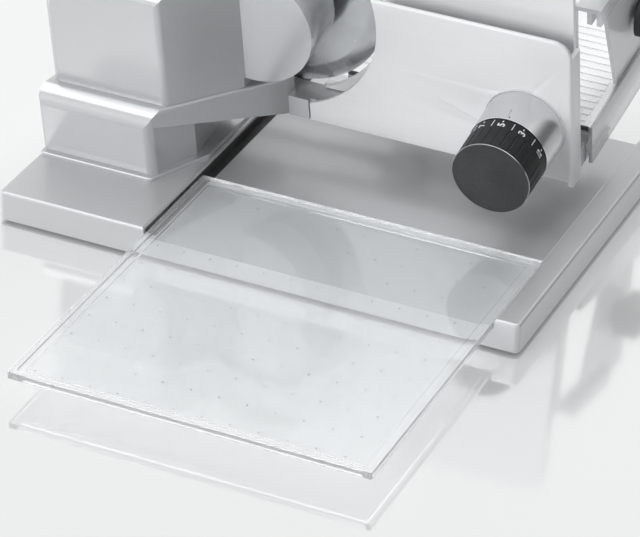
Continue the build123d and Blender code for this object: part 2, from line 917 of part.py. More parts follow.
# Bridge beam: an inverted trough from the arm to the right, with a tongue behind the arm
carrier_back_depth = carrier_face_depth + carrier_thickness
beam_seat_depth = carrier_back_depth + seat_gap
beam_start = arm_end + seat_gap
beam_heights = (beam_low, beam_top)
beam_room = (beam_low - cut_over, beam_top - beam_wall)
shoe_right = shoe_left + shoe_width
fence_face_depth = blade_face_depth - fence_setting
fence_back_depth = fence_face_depth - fence_thickness
shoe_slot = (
    fence_back_depth - shoe_thickness - (fence_range - fence_setting) - sliding_gap,
    fence_back_depth + fence_setting + sliding_gap,
)
with BuildPart() as bridge_beam:
    block((beam_start, beam_lip_end), (beam_front_depth, beam_step_depth), beam_heights)
    block((beam_lip_end, beam_end), (beam_seat_depth, beam_step_depth), beam_heights)
    block((beam_clear_start, beam_end), (beam_step_depth, beam_back_depth), beam_heights)
    block((beam_tongue_left, beam_start), (foot_depth + seat_gap, beam_step_depth), beam_heights)
    block((beam_start + beam_wall, beam_end + cut_over),
          (beam_seat_depth + beam_wall, beam_step_depth - beam_wall), beam_room, Mode.SUBTRACT)
    block((beam_clear_start + beam_wall, beam_end + cut_over),
          (beam_seat_depth + beam_wall, beam_back_depth - beam_wall), beam_room, Mode.SUBTRACT)
    block((bracket_right_start, bracket_right_start + bracket_width),
          (beam_step_depth, beam_back_depth), beam_heights)
    block((shoe_left - sliding_gap, shoe_right + sliding_gap), shoe_slot,
          (shoe_low - sliding_gap, beam_top + cut_over), Mode.SUBTRACT)
    pin_away(beam_screw_spots, foot_depth, foot_depth + beam_screw_length - foot_wall + seat_gap,
             beam_screw_radius + seat_gap, Mode.SUBTRACT)
    pin_away(carrier_screw_spots, carrier_back_depth, beam_seat_depth + beam_wall,
             carrier_screw_radius + seat_gap, Mode.SUBTRACT)
    pin_up([bracket_bolt_spot], beam_low, beam_low + bracket_screw_reach + seat_gap,
           bracket_screw_radius + seat_gap, Mode.SUBTRACT)
save(bridge_beam, "bridge_beam")

with BuildPart() as beam_screws:
    beam_head_depth = foot_depth - foot_wall
    pin_away(beam_screw_spots, beam_head_depth, beam_head_depth + beam_screw_length, beam_screw_radius)
    pin_away(beam_screw_spots, beam_head_depth - beam_screw_head_height, beam_head_depth, beam_screw_head)
save(beam_screws, "beam_screws")

with BuildPart() as beam_end_cap:
    cap_start = beam_end + seat_gap
    block((cap_start, cap_start + end_cap_thickness), (carrier_face_depth + cheek_depth + seat_gap,
          beam_back_depth), beam_heights)
    block((beam_end - end_cap_plug, cap_start),
          (beam_step_depth - beam_wall, beam_back_depth - beam_wall - seat_gap),
          (beam_low, beam_top - beam_wall - seat_gap))
save(beam_end_cap, "beam_end_cap")

# Fence carrier: the big fixed wall with its cheek on the right
collar_screw_spots = around(knob_axis, collar_screw_circle, even_angles(collar_screw_count, top_angle))
with BuildPart() as fence_carrier:
    with BuildSketch(wall(carrier_face_depth)) as carrier_area:
        with Locations(((carrier_left + carrier_right) / 2, (carrier_low + carrier_top) / 2)):
            Rectangle(carrier_right - carrier_left, carrier_top - carrier_low)
        fillet(carrier_area.vertices().group_by(Axis.X)[-1].sort_by(Axis.Z)[-1], carrier_top_radius)
        with Locations(blade_axis):
            Circle(blade_radius + carrier_arc_gap, mode=Mode.SUBTRACT)
    extrude(amount=-carrier_thickness)
    with BuildSketch(side(carrier_right)):
        with BuildLine():
            Polyline(
                (carrier_face_depth, carrier_top - carrier_top_radius),
                (carrier_face_depth, cheek_low + cheek_tip),
                (carrier_face_depth + cheek_tip, cheek_low),
                (carrier_face_depth + cheek_depth, cheek_low),
                (carrier_face_depth + cheek_depth, carrier_top - carrier_top_radius),
                close=True,
            )
        make_face()
    extrude(amount=-cheek_thickness)
    corner_edges = fence_carrier.edges().filter_by(
        lambda edge: abs(depth_of(edge.center()) - carrier_face_depth) < seat_gap
        and abs(edge.center().X - base_left - carrier_right) < seat_gap
    )
    fillet(corner_edges, carrier_edge_radius)
    pin_away([knob_axis], carrier_face_depth, carrier_back_depth, sleeve_radius + running_gap,
             Mode.SUBTRACT)
    pin_away(collar_screw_spots, carrier_face_depth, carrier_back_depth,
             collar_screw_radius + seat_gap, Mode.SUBTRACT)
    pin_away(carrier_screw_spots, carrier_back_depth - carrier_screw_grip - seat_gap, carrier_back_depth,
             carrier_screw_radius + seat_gap, Mode.SUBTRACT)
save(fence_carrier, "fence_carrier")

with BuildPart() as carrier_screws:
    pin_away(collar_screw_spots, carrier_back_depth - collar_screw_length, carrier_back_depth,
             collar_screw_radius)
    pin_away(collar_screw_spots, carrier_back_depth, carrier_back_depth + collar_screw_head_height,
             collar_screw_head)
    carrier_head_depth = beam_seat_depth + beam_wall
    pin_away(carrier_screw_spots, carrier_back_depth - carrier_screw_grip, carrier_head_depth,
             carrier_screw_radius)
    pin_away(carrier_screw_spots, carrier_head_depth, carrier_head_depth + carrier_screw_head_height,
             carrier_screw_head)
# Collar between the carrier and the knob
collar_back_depth = carrier_face_depth - seat_gap
collar_pocket_inner = sleeve_radius + running_gap + collar_inner_wall
collar_pocket_outer = collar_front_radius - collar_outer_wall
collar_floor_depth = collar_back_depth - collar_floor
collar_foot_depth = collar_back_depth - collar_foot_length
with BuildPart() as knob_collar:
    turned(knob_axis, [
        (sleeve_radius + running_gap, collar_front_depth),
        (collar_pocket_inner, collar_front_depth),
        (collar_pocket_inner, collar_floor_depth),
        (collar_pocket_outer, collar_floor_depth),
        (collar_pocket_outer, collar_front_depth + collar_lip_thickness),
        (collar_pocket_outer - collar_lip, collar_front_depth + collar_lip_thickness),
        (collar_pocket_outer - collar_lip, collar_front_depth),
        (collar_front_radius + collar_ring_step, collar_front_depth),
        (collar_front_radius + collar_ring_step, collar_front_depth + collar_ring_length),
        (collar_front_radius, collar_front_depth + collar_ring_length),
        (collar_back_radius, collar_foot_depth),
        (collar_foot_radius, collar_foot_depth),
        (collar_foot_radius, collar_back_depth),
        (sleeve_radius + running_gap, collar_back_depth),
    ])
    mark_start = collar_front_depth + collar_mark_start
    mark_low = knob_height + collar_front_radius - collar_mark_depth
    block((knob_across - collar_mark_offset - collar_mark_width / 2,
           knob_across - collar_mark_offset + collar_mark_width / 2),
          (mark_start, mark_start + collar_mark_length), (mark_low, mark_low + cut_over), Mode.SUBTRACT)
    pin_away(collar_screw_spots, carrier_back_depth - collar_screw_length - seat_gap, collar_back_depth,
             collar_screw_radius + seat_gap, Mode.SUBTRACT)
save(knob_collar, "knob_collar")

save(carrier_screws, "carrier_screws")

# Knob: fluted skirt with a smooth band at the back, hooked behind the collar's lip
trim_back_depth = knob_front_depth + trim_thickness
face_depth = trim_back_depth + seat_gap
face_back_depth = face_depth + knob_face_wall
skirt_back_depth = collar_front_depth - knob_gap
skirt_inner = knob_radius - knob_wall
tail_outer = collar_pocket_outer - collar_lip - sliding_gap
tail_inner = tail_outer - knob_tail_wall
hook_start_depth = collar_front_depth + collar_lip_thickness + sliding_gap
hook_end_depth = hook_start_depth + knob_tail_hook_length
web_start_depth = skirt_back_depth - knob_tail_web
flute_centre = knob_radius + knob_flute_radius - knob_flute_bite
with BuildPart() as thickness_knob:
    turned(knob_axis, [
        (0, face_depth),
        (knob_radius, face_depth),
        (knob_radius, skirt_back_depth),
        (tail_outer, skirt_back_depth),
        (tail_outer, hook_start_depth),
        (tail_outer + knob_tail_hook, hook_start_depth),
        (tail_outer, hook_end_depth),
        (tail_inner, hook_end_depth),
        (tail_inner, web_start_depth),
        (skirt_inner, web_start_depth),
        (skirt_inner, face_back_depth),
        (0, face_back_depth),
    ])
    pin_away([knob_axis], face_back_depth, face_back_depth + knob_hub_length, knob_hub_radius)
    pin_away([knob_axis], face_back_depth, face_back_depth + knob_hub_length + cut_over,
             spindle_radius + seat_gap, Mode.SUBTRACT)
    pin_away(around(knob_axis, flute_centre, even_angles(knob_flutes, 0)), knob_front_depth,
             skirt_back_depth - knob_band_length, knob_flute_radius, Mode.SUBTRACT)
save(thickness_knob, "thickness_knob")

with BuildPart() as knob_trim_ring:
    tube(knob_axis, knob_radius - trim_width, knob_radius, knob_front_depth, trim_back_depth)
save(knob_trim_ring, "knob_trim_ring")

cap_radius = knob_radius - cap_inset
cap_back_depth = knob_front_depth - seat_gap
cap_edge_depth = cap_back_depth - cap_edge
dome_radius = (cap_radius * cap_radius + cap_dome * cap_dome) / (cap_dome * 2)
with BuildPart() as knob_cap:
    cap_plane = Plane(origin=spot(knob_across, 0, knob_height), x_dir=(1, 0, 0), z_dir=tuple(upright))
    with BuildSketch(cap_plane):
        with BuildLine():
            dome = RadiusArc((0, cap_edge_depth - cap_dome), (cap_radius, cap_edge_depth), dome_radius)
            Polyline(
                dome @ 1,
                (cap_radius, cap_back_depth),
                (knob_radius - trim_width - seat_gap, cap_back_depth),
                (knob_radius - trim_width - seat_gap, trim_back_depth),
                (0, trim_back_depth),
                dome @ 0,
            )
        make_face()
    revolve(axis=Axis(tuple(spot(knob_across, 0, knob_height)), tuple(away)))
save(knob_cap, "knob_cap")

with BuildPart() as knob_spindle:
    pin_away([knob_axis], face_back_depth + seat_gap, spindle_back_depth, spindle_radius)
save(knob_spindle, "knob_spindle")

# Fence plate with its sleeve, which carries the nut, and the shoe that keeps it from turning
fence_screw_spots = around(knob_axis, fence_screw_circle, even_angles(fence_screw_count, fence_screw_angle))
fence_head_depth = fence_face_depth - fence_screw_head_height
with BuildPart() as fence_plate:
    with BuildSketch(wall(fence_back_depth)) as fence_area:
        with Locations(((fence_left + fence_right) / 2, (fence_low + fence_top) / 2)):
            Rectangle(fence_right - fence_left, fence_top - fence_low)
        fillet(fence_area.vertices().group_by(Axis.X)[-1].sort_by(Axis.Z)[-1], fence_corner_radius)
        with Locations(blade_axis):
            Circle(blade_radius + fence_arc_gap, mode=Mode.SUBTRACT)
    extrude(amount=-fence_thickness)
    pin_away(fence_screw_spots, fence_back_depth, fence_face_depth, fence_screw_radius + seat_gap,
             Mode.SUBTRACT)
    pin_away(fence_screw_spots, fence_head_depth - seat_gap, fence_face_depth,
             fence_screw_head + seat_gap, Mode.SUBTRACT)
save(fence_plate, "fence_plate")

sleeve_back_depth = fence_back_depth - seat_gap
sleeve_front_depth = sleeve_back_depth - sleeve_length
with BuildPart() as fence_sleeve:
    turned(knob_axis, [
        (spindle_radius + running_gap, sleeve_front_depth),
        (sleeve_radius, sleeve_front_depth),
        (sleeve_radius, sleeve_back_depth - sleeve_flange_thickness),
        (sleeve_flange_radius, sleeve_back_depth - sleeve_flange_thickness),
        (sleeve_flange_radius, sleeve_back_depth),
        (nut_relief_radius, sleeve_back_depth),
        (nut_relief_radius, sleeve_front_depth + nut_length),
        (spindle_radius + running_gap, sleeve_front_depth + nut_length),
    ])
    pin_away(fence_screw_spots, fence_head_depth - fence_screw_length + fence_screw_head_height - seat_gap,
             sleeve_back_depth, fence_screw_radius + seat_gap, Mode.SUBTRACT)
save(fence_sleeve, "fence_sleeve")

with BuildPart() as fence_screws:
    pin_away(fence_screw_spots, fence_face_depth - fence_screw_length, fence_head_depth,
             fence_screw_radius)
    pin_away(fence_screw_spots, fence_head_depth, fence_face_depth - seat_gap, fence_screw_head)
save(fence_screws, "fence_screws")

with BuildPart() as fence_shoe:
    block((shoe_left, shoe_right), (fence_back_depth - shoe_thickness, fence_back_depth - seat_gap),
          (shoe_low, shoe_high))
save(fence_shoe, "fence_shoe")


# Casings of the drive: outline seen from the tray side, inset by a wall for the room inside
def casing_area(depth, inset):
    left = casing_left + inset
    top = blade_height + casing_boss_radius - inset
    low = casing_low + inset
    neck = casing_neck - inset
    radius = casing_corner_radius - inset
    with BuildSketch(wall(depth)) as area:
        with BuildLine():
            CenterArc((left + radius, top - radius), radius, 90, 90)
            Polyline((left, top - radius), (left, low), (neck, low), (neck, blade_height),
                     (blade_across, blade_height), (blade_across, top), (left + radius, top))
        make_face()
        with Locations(blade_axis):
            Circle(casing_boss_radius - inset)
    return area.sketch


def cover_plan(inset):
    # plan of the motor cover, its right side along the arm
    lean = (arm_end - foot_front_width) / arm_face_depth
    back = casing_plate_depth + cut_over if inset else casing_plate_depth
    front = casing_front_depth + inset
    start = foot_front_width - casing_arm_inset - inset * sqrt(1 + lean * lean)
    with BuildSketch(deck(0)) as area:
        with BuildLine():
            Polyline(
                (casing_left + inset, front),
                (start + lean * front, front),
                (start + lean * back, back),
                (casing_left + inset, back),
                close=True,
            )
        make_face()
    return area.sketch


button_spots = [
    (switch_across - button_spacing / 2, switch_depth),
    (switch_across + button_spacing / 2, switch_depth),
]
casing_top = blade_height + casing_boss_radius
cover_room_depth = casing_plate_depth - casing_front_depth
with BuildPart() as cover_space:
    extrude(casing_area(casing_front_depth + casing_wall, casing_wall),
            amount=-cover_room_depth)
    extrude(cover_plan(casing_wall), amount=casing_top, mode=Mode.INTERSECT)
    slope_cut(foot_top_height + casing_wall, foot_top_slope, -foot_drop)

with BuildPart() as motor_cover:
    extrude(casing_area(casing_front_depth, 0), amount=-cover_room_depth)
    extrude(cover_plan(0), amount=casing_top, mode=Mode.INTERSECT)
    slope_cut(foot_top_height + seat_gap, foot_top_slope, -foot_drop)
    front_edges = motor_cover.edges().filter_by(
        lambda edge: abs(depth_of(edge.center()) - casing_front_depth) < seat_gap
        and height_of(edge.center()) > blade_height
    )
    fillet(front_edges, casing_front_radius)
    add(cover_space.part, mode=Mode.SUBTRACT)
    with BuildSketch(deck(casing_top - casing_wall)):
        with Locations(*button_spots):
            RectangleRounded(button_length + sliding_gap * 2, button_width + sliding_gap * 2, button_corner)
    extrude(amount=casing_wall + cut_over, mode=Mode.SUBTRACT)
save(motor_cover, "motor_cover")

# Plate between motor and gears: it holds the motor and the blade shaft's front bearing
plate_back_depth = casing_plate_depth + casing_plate_thickness
bearing_seat = bearing_outer_radius + seat_gap
bearing_boss = bearing_outer_radius + bearing_seat_wall
front_bearing_depth = shaft_front_depth
rear_bearing_depth = casing_back_depth - casing_wall - bearing_width
motor_screw_spots = around(motor_axis, motor_screw_circle, even_angles(motor_screw_count, top_angle))
with BuildPart() as gear_plate:
    extrude(casing_area(casing_plate_depth + seat_gap, 0), amount=seat_gap - casing_plate_thickness)
    pin_away([blade_axis], plate_back_depth - seat_gap, front_bearing_depth + bearing_width + bearing_lip,
             bearing_boss)
    pin_away([blade_axis], front_bearing_depth, front_bearing_depth + bearing_width + cut_over,
             bearing_seat, Mode.SUBTRACT)
    pin_away([motor_axis], casing_plate_depth, plate_back_depth, motor_passage_radius, Mode.SUBTRACT)
    pin_away(motor_screw_spots, casing_plate_depth, plate_back_depth, motor_screw_radius + seat_gap,
             Mode.SUBTRACT)
    pin_away(plate_screw_spots, casing_plate_depth, plate_back_depth, plate_screw_radius + seat_gap,
             Mode.SUBTRACT)
    slope_cut(foot_top_height + seat_gap, foot_top_slope, -foot_drop)
save(gear_plate, "gear_plate")

# Gear case behind the plate, with the rear bearing and the guard's fixings
gear_case_front = plate_back_depth + seat_gap
guard_middle_radius = blade_radius + guard_gap + guard_width / 2
guard_spots = around(blade_axis, guard_middle_radius, guard_post_angles)
with BuildPart() as gear_space:
    extrude(casing_area(gear_case_front, casing_wall),
            amount=gear_case_front - casing_back_depth + casing_wall)
    slope_cut(foot_top_height + casing_wall, foot_top_slope, -foot_drop)

with BuildPart() as gear_case:
    extrude(casing_area(gear_case_front, 0), amount=gear_case_front - casing_back_depth)
    slope_cut(foot_top_height + seat_gap, foot_top_slope, -foot_drop)
    add(gear_space.part, mode=Mode.SUBTRACT)
    pin_away(plate_screw_spots, gear_case_front, casing_back_depth, plate_boss_radius)
    pin_away(plate_screw_spots, gear_case_front,
             casing_plate_depth + plate_screw_length + seat_gap,
             plate_screw_radius + seat_gap, Mode.SUBTRACT)
    pin_away([blade_axis], rear_bearing_depth - bearing_lip, casing_back_depth, bearing_boss)
    pin_away([blade_axis], rear_bearing_depth - bearing_lip, rear_bearing_depth + bearing_width,
             bearing_seat, Mode.SUBTRACT)
    pin_away([blade_axis], rear_bearing_depth, casing_back_depth + cut_over,
             bearing_outer_radius - bearing_seat_wall, Mode.SUBTRACT)
    pin_away(guard_spots, casing_back_depth - casing_wall, casing_back_depth,
             guard_screw_radius + seat_gap, Mode.SUBTRACT)
save(gear_case, "gear_case")

with BuildPart() as plate_screws:
    pin_away(motor_screw_spots, plate_back_depth - motor_screw_length, plate_back_depth,
             motor_screw_radius)
    pin_away(motor_screw_spots, plate_back_depth, plate_back_depth + motor_screw_head_height,
             motor_screw_head)
    pin_away(plate_screw_spots, casing_plate_depth, casing_plate_depth + plate_screw_length,
             plate_screw_radius)
    pin_away(plate_screw_spots, casing_plate_depth - plate_screw_head_height, casing_plate_depth,
             plate_screw_head)
save(plate_screws, "plate_screws")

# Blade shaft bearings
groove_inner = (shaft_radius + bearing_outer_radius - bearing_groove_width) / 2
groove_outer = groove_inner + bearing_groove_width
for bearing_name, bearing_depth in [("front_bearing", front_bearing_depth),
                                    ("rear_bearing", rear_bearing_depth)]:
    with BuildPart() as bearing:
        bearing_end = bearing_depth + bearing_width - seat_gap
        tube(blade_axis, shaft_radius + running_gap, bearing_outer_radius, bearing_depth + seat_gap,
             bearing_end)
        tube(blade_axis, groove_inner, groove_outer, bearing_depth,
             bearing_depth + bearing_groove_depth, Mode.SUBTRACT)
        tube(blade_axis, groove_inner, groove_outer, bearing_end - bearing_groove_depth,
             bearing_end + cut_over, Mode.SUBTRACT)
    save(bearing, bearing_name)


# Spur gears: involute flanks as short straight steps
def gear_points(axis_spot, teeth, first_angle):
    pitch_radius = gear_module * teeth / 2
    base_radius = pitch_radius * cos(radians(pressure_angle))
    tip_radius = pitch_radius + gear_module * tooth_top_share
    root_radius = pitch_radius - gear_module * tooth_root_share
    start_radius = max(base_radius, root_radius)
    half_pitch = (pi / teeth - tooth_backlash / pitch_radius / 2) / 2
    pitch_roll = tan(radians(pressure_angle)) - radians(pressure_angle)
    flank = []
    for step in range(flank_steps + 1):
        radius = start_radius + (tip_radius - start_radius) * step / flank_steps
        roll_angle = acos(base_radius / radius)
        flank.append((radius, half_pitch + pitch_roll - tan(roll_angle) + roll_angle))
    if start_radius > root_radius:
        flank.insert(0, (root_radius, flank[0][1]))
    points = []
    for tooth in range(teeth):
        middle = radians(first_angle) + pi * 2 * tooth / teeth
        for radius, half in flank:
            points.append((radius, middle - half))
        for radius, half in reversed(flank):
            points.append((radius, middle + half))
    across, height = axis_spot
    return [(across + radius * cos(turn), height + radius * sin(turn)) for radius, turn in points]


def toothed_disc(axis_spot, teeth, first_angle):
    with BuildSketch(wall(gear_depth)) as area:
        with BuildLine():
            Polyline(*gear_points(axis_spot, teeth, first_angle), close=True)
        make_face()
    extrude(area.sketch, amount=-gear_face)


gear_end_depth = gear_depth + gear_face
gear_rim_radius = gear_pitch_radius - gear_module * tooth_root_share - gear_rim
web_cut = (gear_face - gear_web) / 2
with BuildPart() as blade_gear:
    toothed_disc(blade_axis, gear_teeth, 0)
    tube(blade_axis, gear_hub_radius, gear_rim_radius, gear_depth, gear_depth + web_cut, Mode.SUBTRACT)
    tube(blade_axis, gear_hub_radius, gear_rim_radius, gear_end_depth - web_cut, gear_end_depth,
         Mode.SUBTRACT)
    pin_away([blade_axis], gear_depth, gear_end_depth, shaft_radius + seat_gap, Mode.SUBTRACT)
save(blade_gear, "blade_gear")

with BuildPart() as drive_pinion:
    toothed_disc(motor_axis, pinion_teeth, full_turn / pinion_teeth / 2)
    pin_away([motor_axis], gear_depth, gear_end_depth, motor_shaft_radius + seat_gap, Mode.SUBTRACT)
save(drive_pinion, "drive_pinion")

# Round blade on the shaft's flange
blade_screw_spots = around(blade_axis, blade_screw_circle, even_angles(blade_screw_count, top_angle))
blade_head_depth = blade_face_depth - blade_screw_head_height
flange_back_depth = blade_front_depth - seat_gap
with BuildPart() as blade_shaft:
    pin_away([blade_axis], front_bearing_depth, flange_back_depth, shaft_radius)
    pin_away([blade_axis], flange_back_depth - shaft_flange_thickness, flange_back_depth,
             shaft_flange_radius)
    pin_away([blade_axis], flange_back_depth, blade_front_depth + blade_pilot_length, blade_pilot_radius)
    pin_away(blade_screw_spots, blade_face_depth - blade_screw_length - seat_gap, flange_back_depth,
             blade_screw_radius + seat_gap, Mode.SUBTRACT)
save(blade_shaft, "blade_shaft")

with BuildPart() as round_blade:
    turned(blade_axis, [
        (blade_pilot_radius + seat_gap, blade_front_depth),
        (blade_radius - blade_bevel, blade_front_depth),
        (blade_radius, blade_face_depth - blade_edge_thickness),
        (blade_radius, blade_face_depth),
        (blade_pilot_radius + seat_gap, blade_face_depth),
    ])
    pin_away(blade_screw_spots, blade_front_depth, blade_face_depth, blade_screw_radius + seat_gap,
             Mode.SUBTRACT)
    pin_away(blade_screw_spots, blade_head_depth - seat_gap, blade_face_depth,
             blade_screw_head + seat_gap, Mode.SUBTRACT)
save(round_blade, "round_blade")

with BuildPart() as blade_screws:
    pin_away(blade_screw_spots, blade_face_depth - blade_screw_length, blade_head_depth,
             blade_screw_radius)
    pin_away(blade_screw_spots, blade_head_depth, blade_face_depth - seat_gap, blade_screw_head)
save(blade_screws, "blade_screws")

# Guard ring round the back of the blade
guard_inner_radius = blade_radius + guard_gap
with BuildPart() as blade_guard:
    with BuildSketch(wall(guard_front_depth)):
        with BuildLine():
            guard_sweep = guard_end_angle - guard_start_angle
            inner_arc = CenterArc(blade_axis, guard_inner_radius, guard_start_angle, guard_sweep)
            outer_arc = CenterArc(blade_axis, guard_inner_radius + guard_width, guard_start_angle,
                                  guard_sweep)
            Line(inner_arc @ 0, outer_arc @ 0)
            Line(inner_arc @ 1, outer_arc @ 1)
        make_face()
    extrude(amount=-guard_thickness)
    pin_away(guard_spots, casing_back_depth + seat_gap, guard_front_depth, guard_post_radius)
    pin_away(guard_spots, casing_back_depth, casing_back_depth - casing_wall + guard_screw_length + seat_gap,
             guard_screw_radius + seat_gap, Mode.SUBTRACT)
save(blade_guard, "blade_guard")

with BuildPart() as guard_screws:
    guard_head_depth = casing_back_depth - casing_wall
    pin_away(guard_spots, guard_head_depth, guard_head_depth + guard_screw_length, guard_screw_radius)
    pin_away(guard_spots, guard_head_depth - guard_screw_head_height, guard_head_depth, guard_screw_head)
save(guard_screws, "guard_screws")

# Motor: can, rotor with shaft and commutator, screws
motor_back_depth = casing_plate_depth
motor_room_radius = motor_radius - motor_wall
with BuildPart() as motor_can:
    turned(motor_axis, [
        (motor_shaft_radius + running_gap, motor_front_depth),
        (motor_radius, motor_front_depth),
        (motor_radius, motor_back_depth),
        (motor_shaft_radius + running_gap, motor_back_depth),
        (motor_shaft_radius + running_gap, motor_back_depth - motor_wall),
        (motor_room_radius, motor_back_depth - motor_wall),
        (motor_room_radius, motor_front_depth + motor_wall),
        (motor_shaft_radius + running_gap, motor_front_depth + motor_wall),
    ])
    pin_away(motor_screw_spots, motor_back_depth - motor_wall, motor_back_depth,
             motor_screw_radius + seat_gap, Mode.SUBTRACT)
save(motor_can, "motor_can")

slot_middle = rotor_radius - rotor_slot_depth / 2
with BuildPart() as motor_rotor:
    pin_away([motor_axis], motor_front_depth, gear_end_depth + gear_module, motor_shaft_radius)
    pin_away([motor_axis], rotor_front_depth, rotor_back_depth, rotor_radius)
    pin_away([motor_axis], rotor_front_depth - commutator_length, rotor_front_depth, commutator_radius)
    with BuildSketch(wall(rotor_front_depth)):
        with Locations(motor_axis):
            with PolarLocations(slot_middle, rotor_slots):
                Rectangle(rotor_slot_depth + seat_gap, rotor_slot_width)
    extrude(amount=rotor_front_depth - rotor_back_depth, mode=Mode.SUBTRACT)
save(motor_rotor, "motor_rotor")

# Switch: bezel, two buttons and the block below them
with BuildPart() as switch_bezel:
    with BuildSketch(deck(casing_top + seat_gap)):
        with Locations((switch_across, switch_depth)):
            RectangleRounded(bezel_length, bezel_width, bezel_corner)
        with Locations(*button_spots):
            RectangleRounded(button_length + sliding_gap * 2, button_width + sliding_gap * 2, button_corner,
                             mode=Mode.SUBTRACT)
    extrude(amount=bezel_height)
save(switch_bezel, "switch_bezel")

button_low = casing_top - casing_wall - sliding_gap - button_flange_height
for button_name, button_spot in zip(["on_button", "off_button"], button_spots):
    with BuildPart() as button:
        with BuildSketch(deck(button_low)):
            with Locations(button_spot):
                RectangleRounded(button_length, button_width, button_corner)
        extrude(amount=casing_top + bezel_height + button_proud - button_low)
        with BuildSketch(deck(button_low)):
            with Locations(button_spot):
                RectangleRounded(button_length + button_flange * 2, button_width + button_flange * 2,
                                 button_corner)
        extrude(amount=button_flange_height)
    save(button, button_name)

block_top = button_low - button_stroke - sliding_gap
block_half = bezel_length / 2 + switch_block_end
with BuildPart() as switch_block:
    block((switch_across - block_half, switch_across + block_half),
          (switch_depth - bezel_width / 2, switch_depth + bezel_width / 2),
          (block_top - switch_block_height, block_top))
    for block_end in (-block_half, block_half - switch_block_end):
        block((switch_across + block_end, switch_across + block_end + switch_block_end),
              (switch_depth - bezel_width / 2, switch_depth + bezel_width / 2),
              (block_top, casing_top - casing_wall - seat_gap))
save(switch_block, "switch_block")

# Carriage guide: two rods in two brackets
bracket_bar = (bracket_low, bracket_high)
rod_spots = [(rod_front_depth, rod_height), (rod_back_depth, rod_height)]
with BuildPart() as left_bracket:
    block((bracket_left_start, bracket_left_start + bracket_width),
          (bracket_start_depth, bracket_end_depth), (bracket_low - foot_drop, bracket_high))
    slab((base_x, base_y), base_width * 2, base_depth * 2, base_bottom - foot_drop,
         unit_base_z + seat_gap, Mode.SUBTRACT)
    pin_across(rod_spots, bracket_left_start, bracket_left_start + bracket_width, rod_radius + seat_gap,
               Mode.SUBTRACT)
    pin_upright(bracket_screw_spots, unit_base_z, unit_base_z + bracket_screw_reach + seat_gap,
                bracket_screw_radius + seat_gap, Mode.SUBTRACT)
save(left_bracket, "left_bracket")

bolt_head_top = bracket_low + bracket_screw_head_height
with BuildPart() as right_bracket:
    right_sides = (bracket_right_start, bracket_right_start + bracket_width)
    block(right_sides, (bracket_start_depth, bracket_end_depth), bracket_bar)
    block(right_sides, (bracket_start_depth, bracket_start_depth + bracket_leg_depth),
          (bracket_low, beam_low - seat_gap))
    pin_across(rod_spots, *right_sides, rod_radius + seat_gap, Mode.SUBTRACT)
    pin_up([bracket_bolt_spot], bracket_low, beam_low, bracket_screw_radius + seat_gap, Mode.SUBTRACT)
    pin_up([bracket_bolt_spot], bracket_low, bolt_head_top + seat_gap, bracket_screw_head + seat_gap,
           Mode.SUBTRACT)
save(right_bracket, "right_bracket")

with BuildPart() as bracket_screws:
    pin_upright(bracket_screw_spots, deck_ceiling, unit_base_z + bracket_screw_reach,
                bracket_screw_radius)
    pin_upright(bracket_screw_spots, deck_ceiling - bracket_screw_head_height, deck_ceiling,
                bracket_screw_head)
    pin_up([bracket_bolt_spot], bolt_head_top, beam_low + bracket_screw_reach, bracket_screw_radius)
    pin_up([bracket_bolt_spot], bracket_low, bolt_head_top, bracket_screw_head)
save(bracket_screws, "bracket_screws")

with BuildPart() as front_rod:
    pin_across([rod_spots[0]], rod_left, rod_right, rod_radius)
save(front_rod, "front_rod")

with BuildPart() as rear_rod:
    pin_across([rod_spots[1]], rod_left, rod_right, rod_radius)
save(rear_rod, "rear_rod")

# Carriage: frame with lip, skirt and three legs on the rods
carriage_span = (carriage_left, carriage_right)
carriage_reach = (carriage_front_depth, carriage_back_depth)
skirt_left = carriage_right - carriage_wall
rim_back = carriage_back_depth - carriage_rim
leg_spots = [
    (leg_left_start, rod_front_depth),
    (leg_right_start, rod_front_depth),
    (leg_rear_start, rod_back_depth),
]
bush_radius = rod_radius + running_gap + bush_wall
with BuildPart() as carriage_frame:
    block(carriage_span, carriage_reach, (carriage_lip_low, table_seat))
    block((carriage_left, carriage_left + carriage_rim), carriage_reach, (table_seat, carriage_top))
    block(carriage_span, (rim_back, carriage_back_depth), (table_seat, carriage_top))
    block((skirt_left, carriage_right), carriage_reach, (carriage_skirt_low, carriage_top))
    block((carriage_left + carriage_wall, skirt_left - carriage_wall),
          (carriage_front_depth + carriage_wall, rim_back - carriage_wall),
          (carriage_lip_low - cut_over, carriage_lip_low + carriage_recess), Mode.SUBTRACT)
    for leg_start, leg_depth in leg_spots:
        block((leg_start, leg_start + leg_length),
              (leg_depth - leg_half_width, leg_depth + leg_half_width),
              (leg_low, table_seat))
        pin_across([(leg_depth, rod_height)], leg_start, leg_start + leg_length,
                   bush_radius + seat_gap, Mode.SUBTRACT)
save(carriage_frame, "carriage_frame")

with BuildPart() as rod_bushes:
    for leg_start, leg_depth in leg_spots:
        pin_across([(leg_depth, rod_height)], leg_start, leg_start + leg_length, bush_radius)
        pin_across([(leg_depth, rod_height)], leg_start, leg_start + leg_length,
                   rod_radius + running_gap, Mode.SUBTRACT)
save(rod_bushes, "rod_bushes")

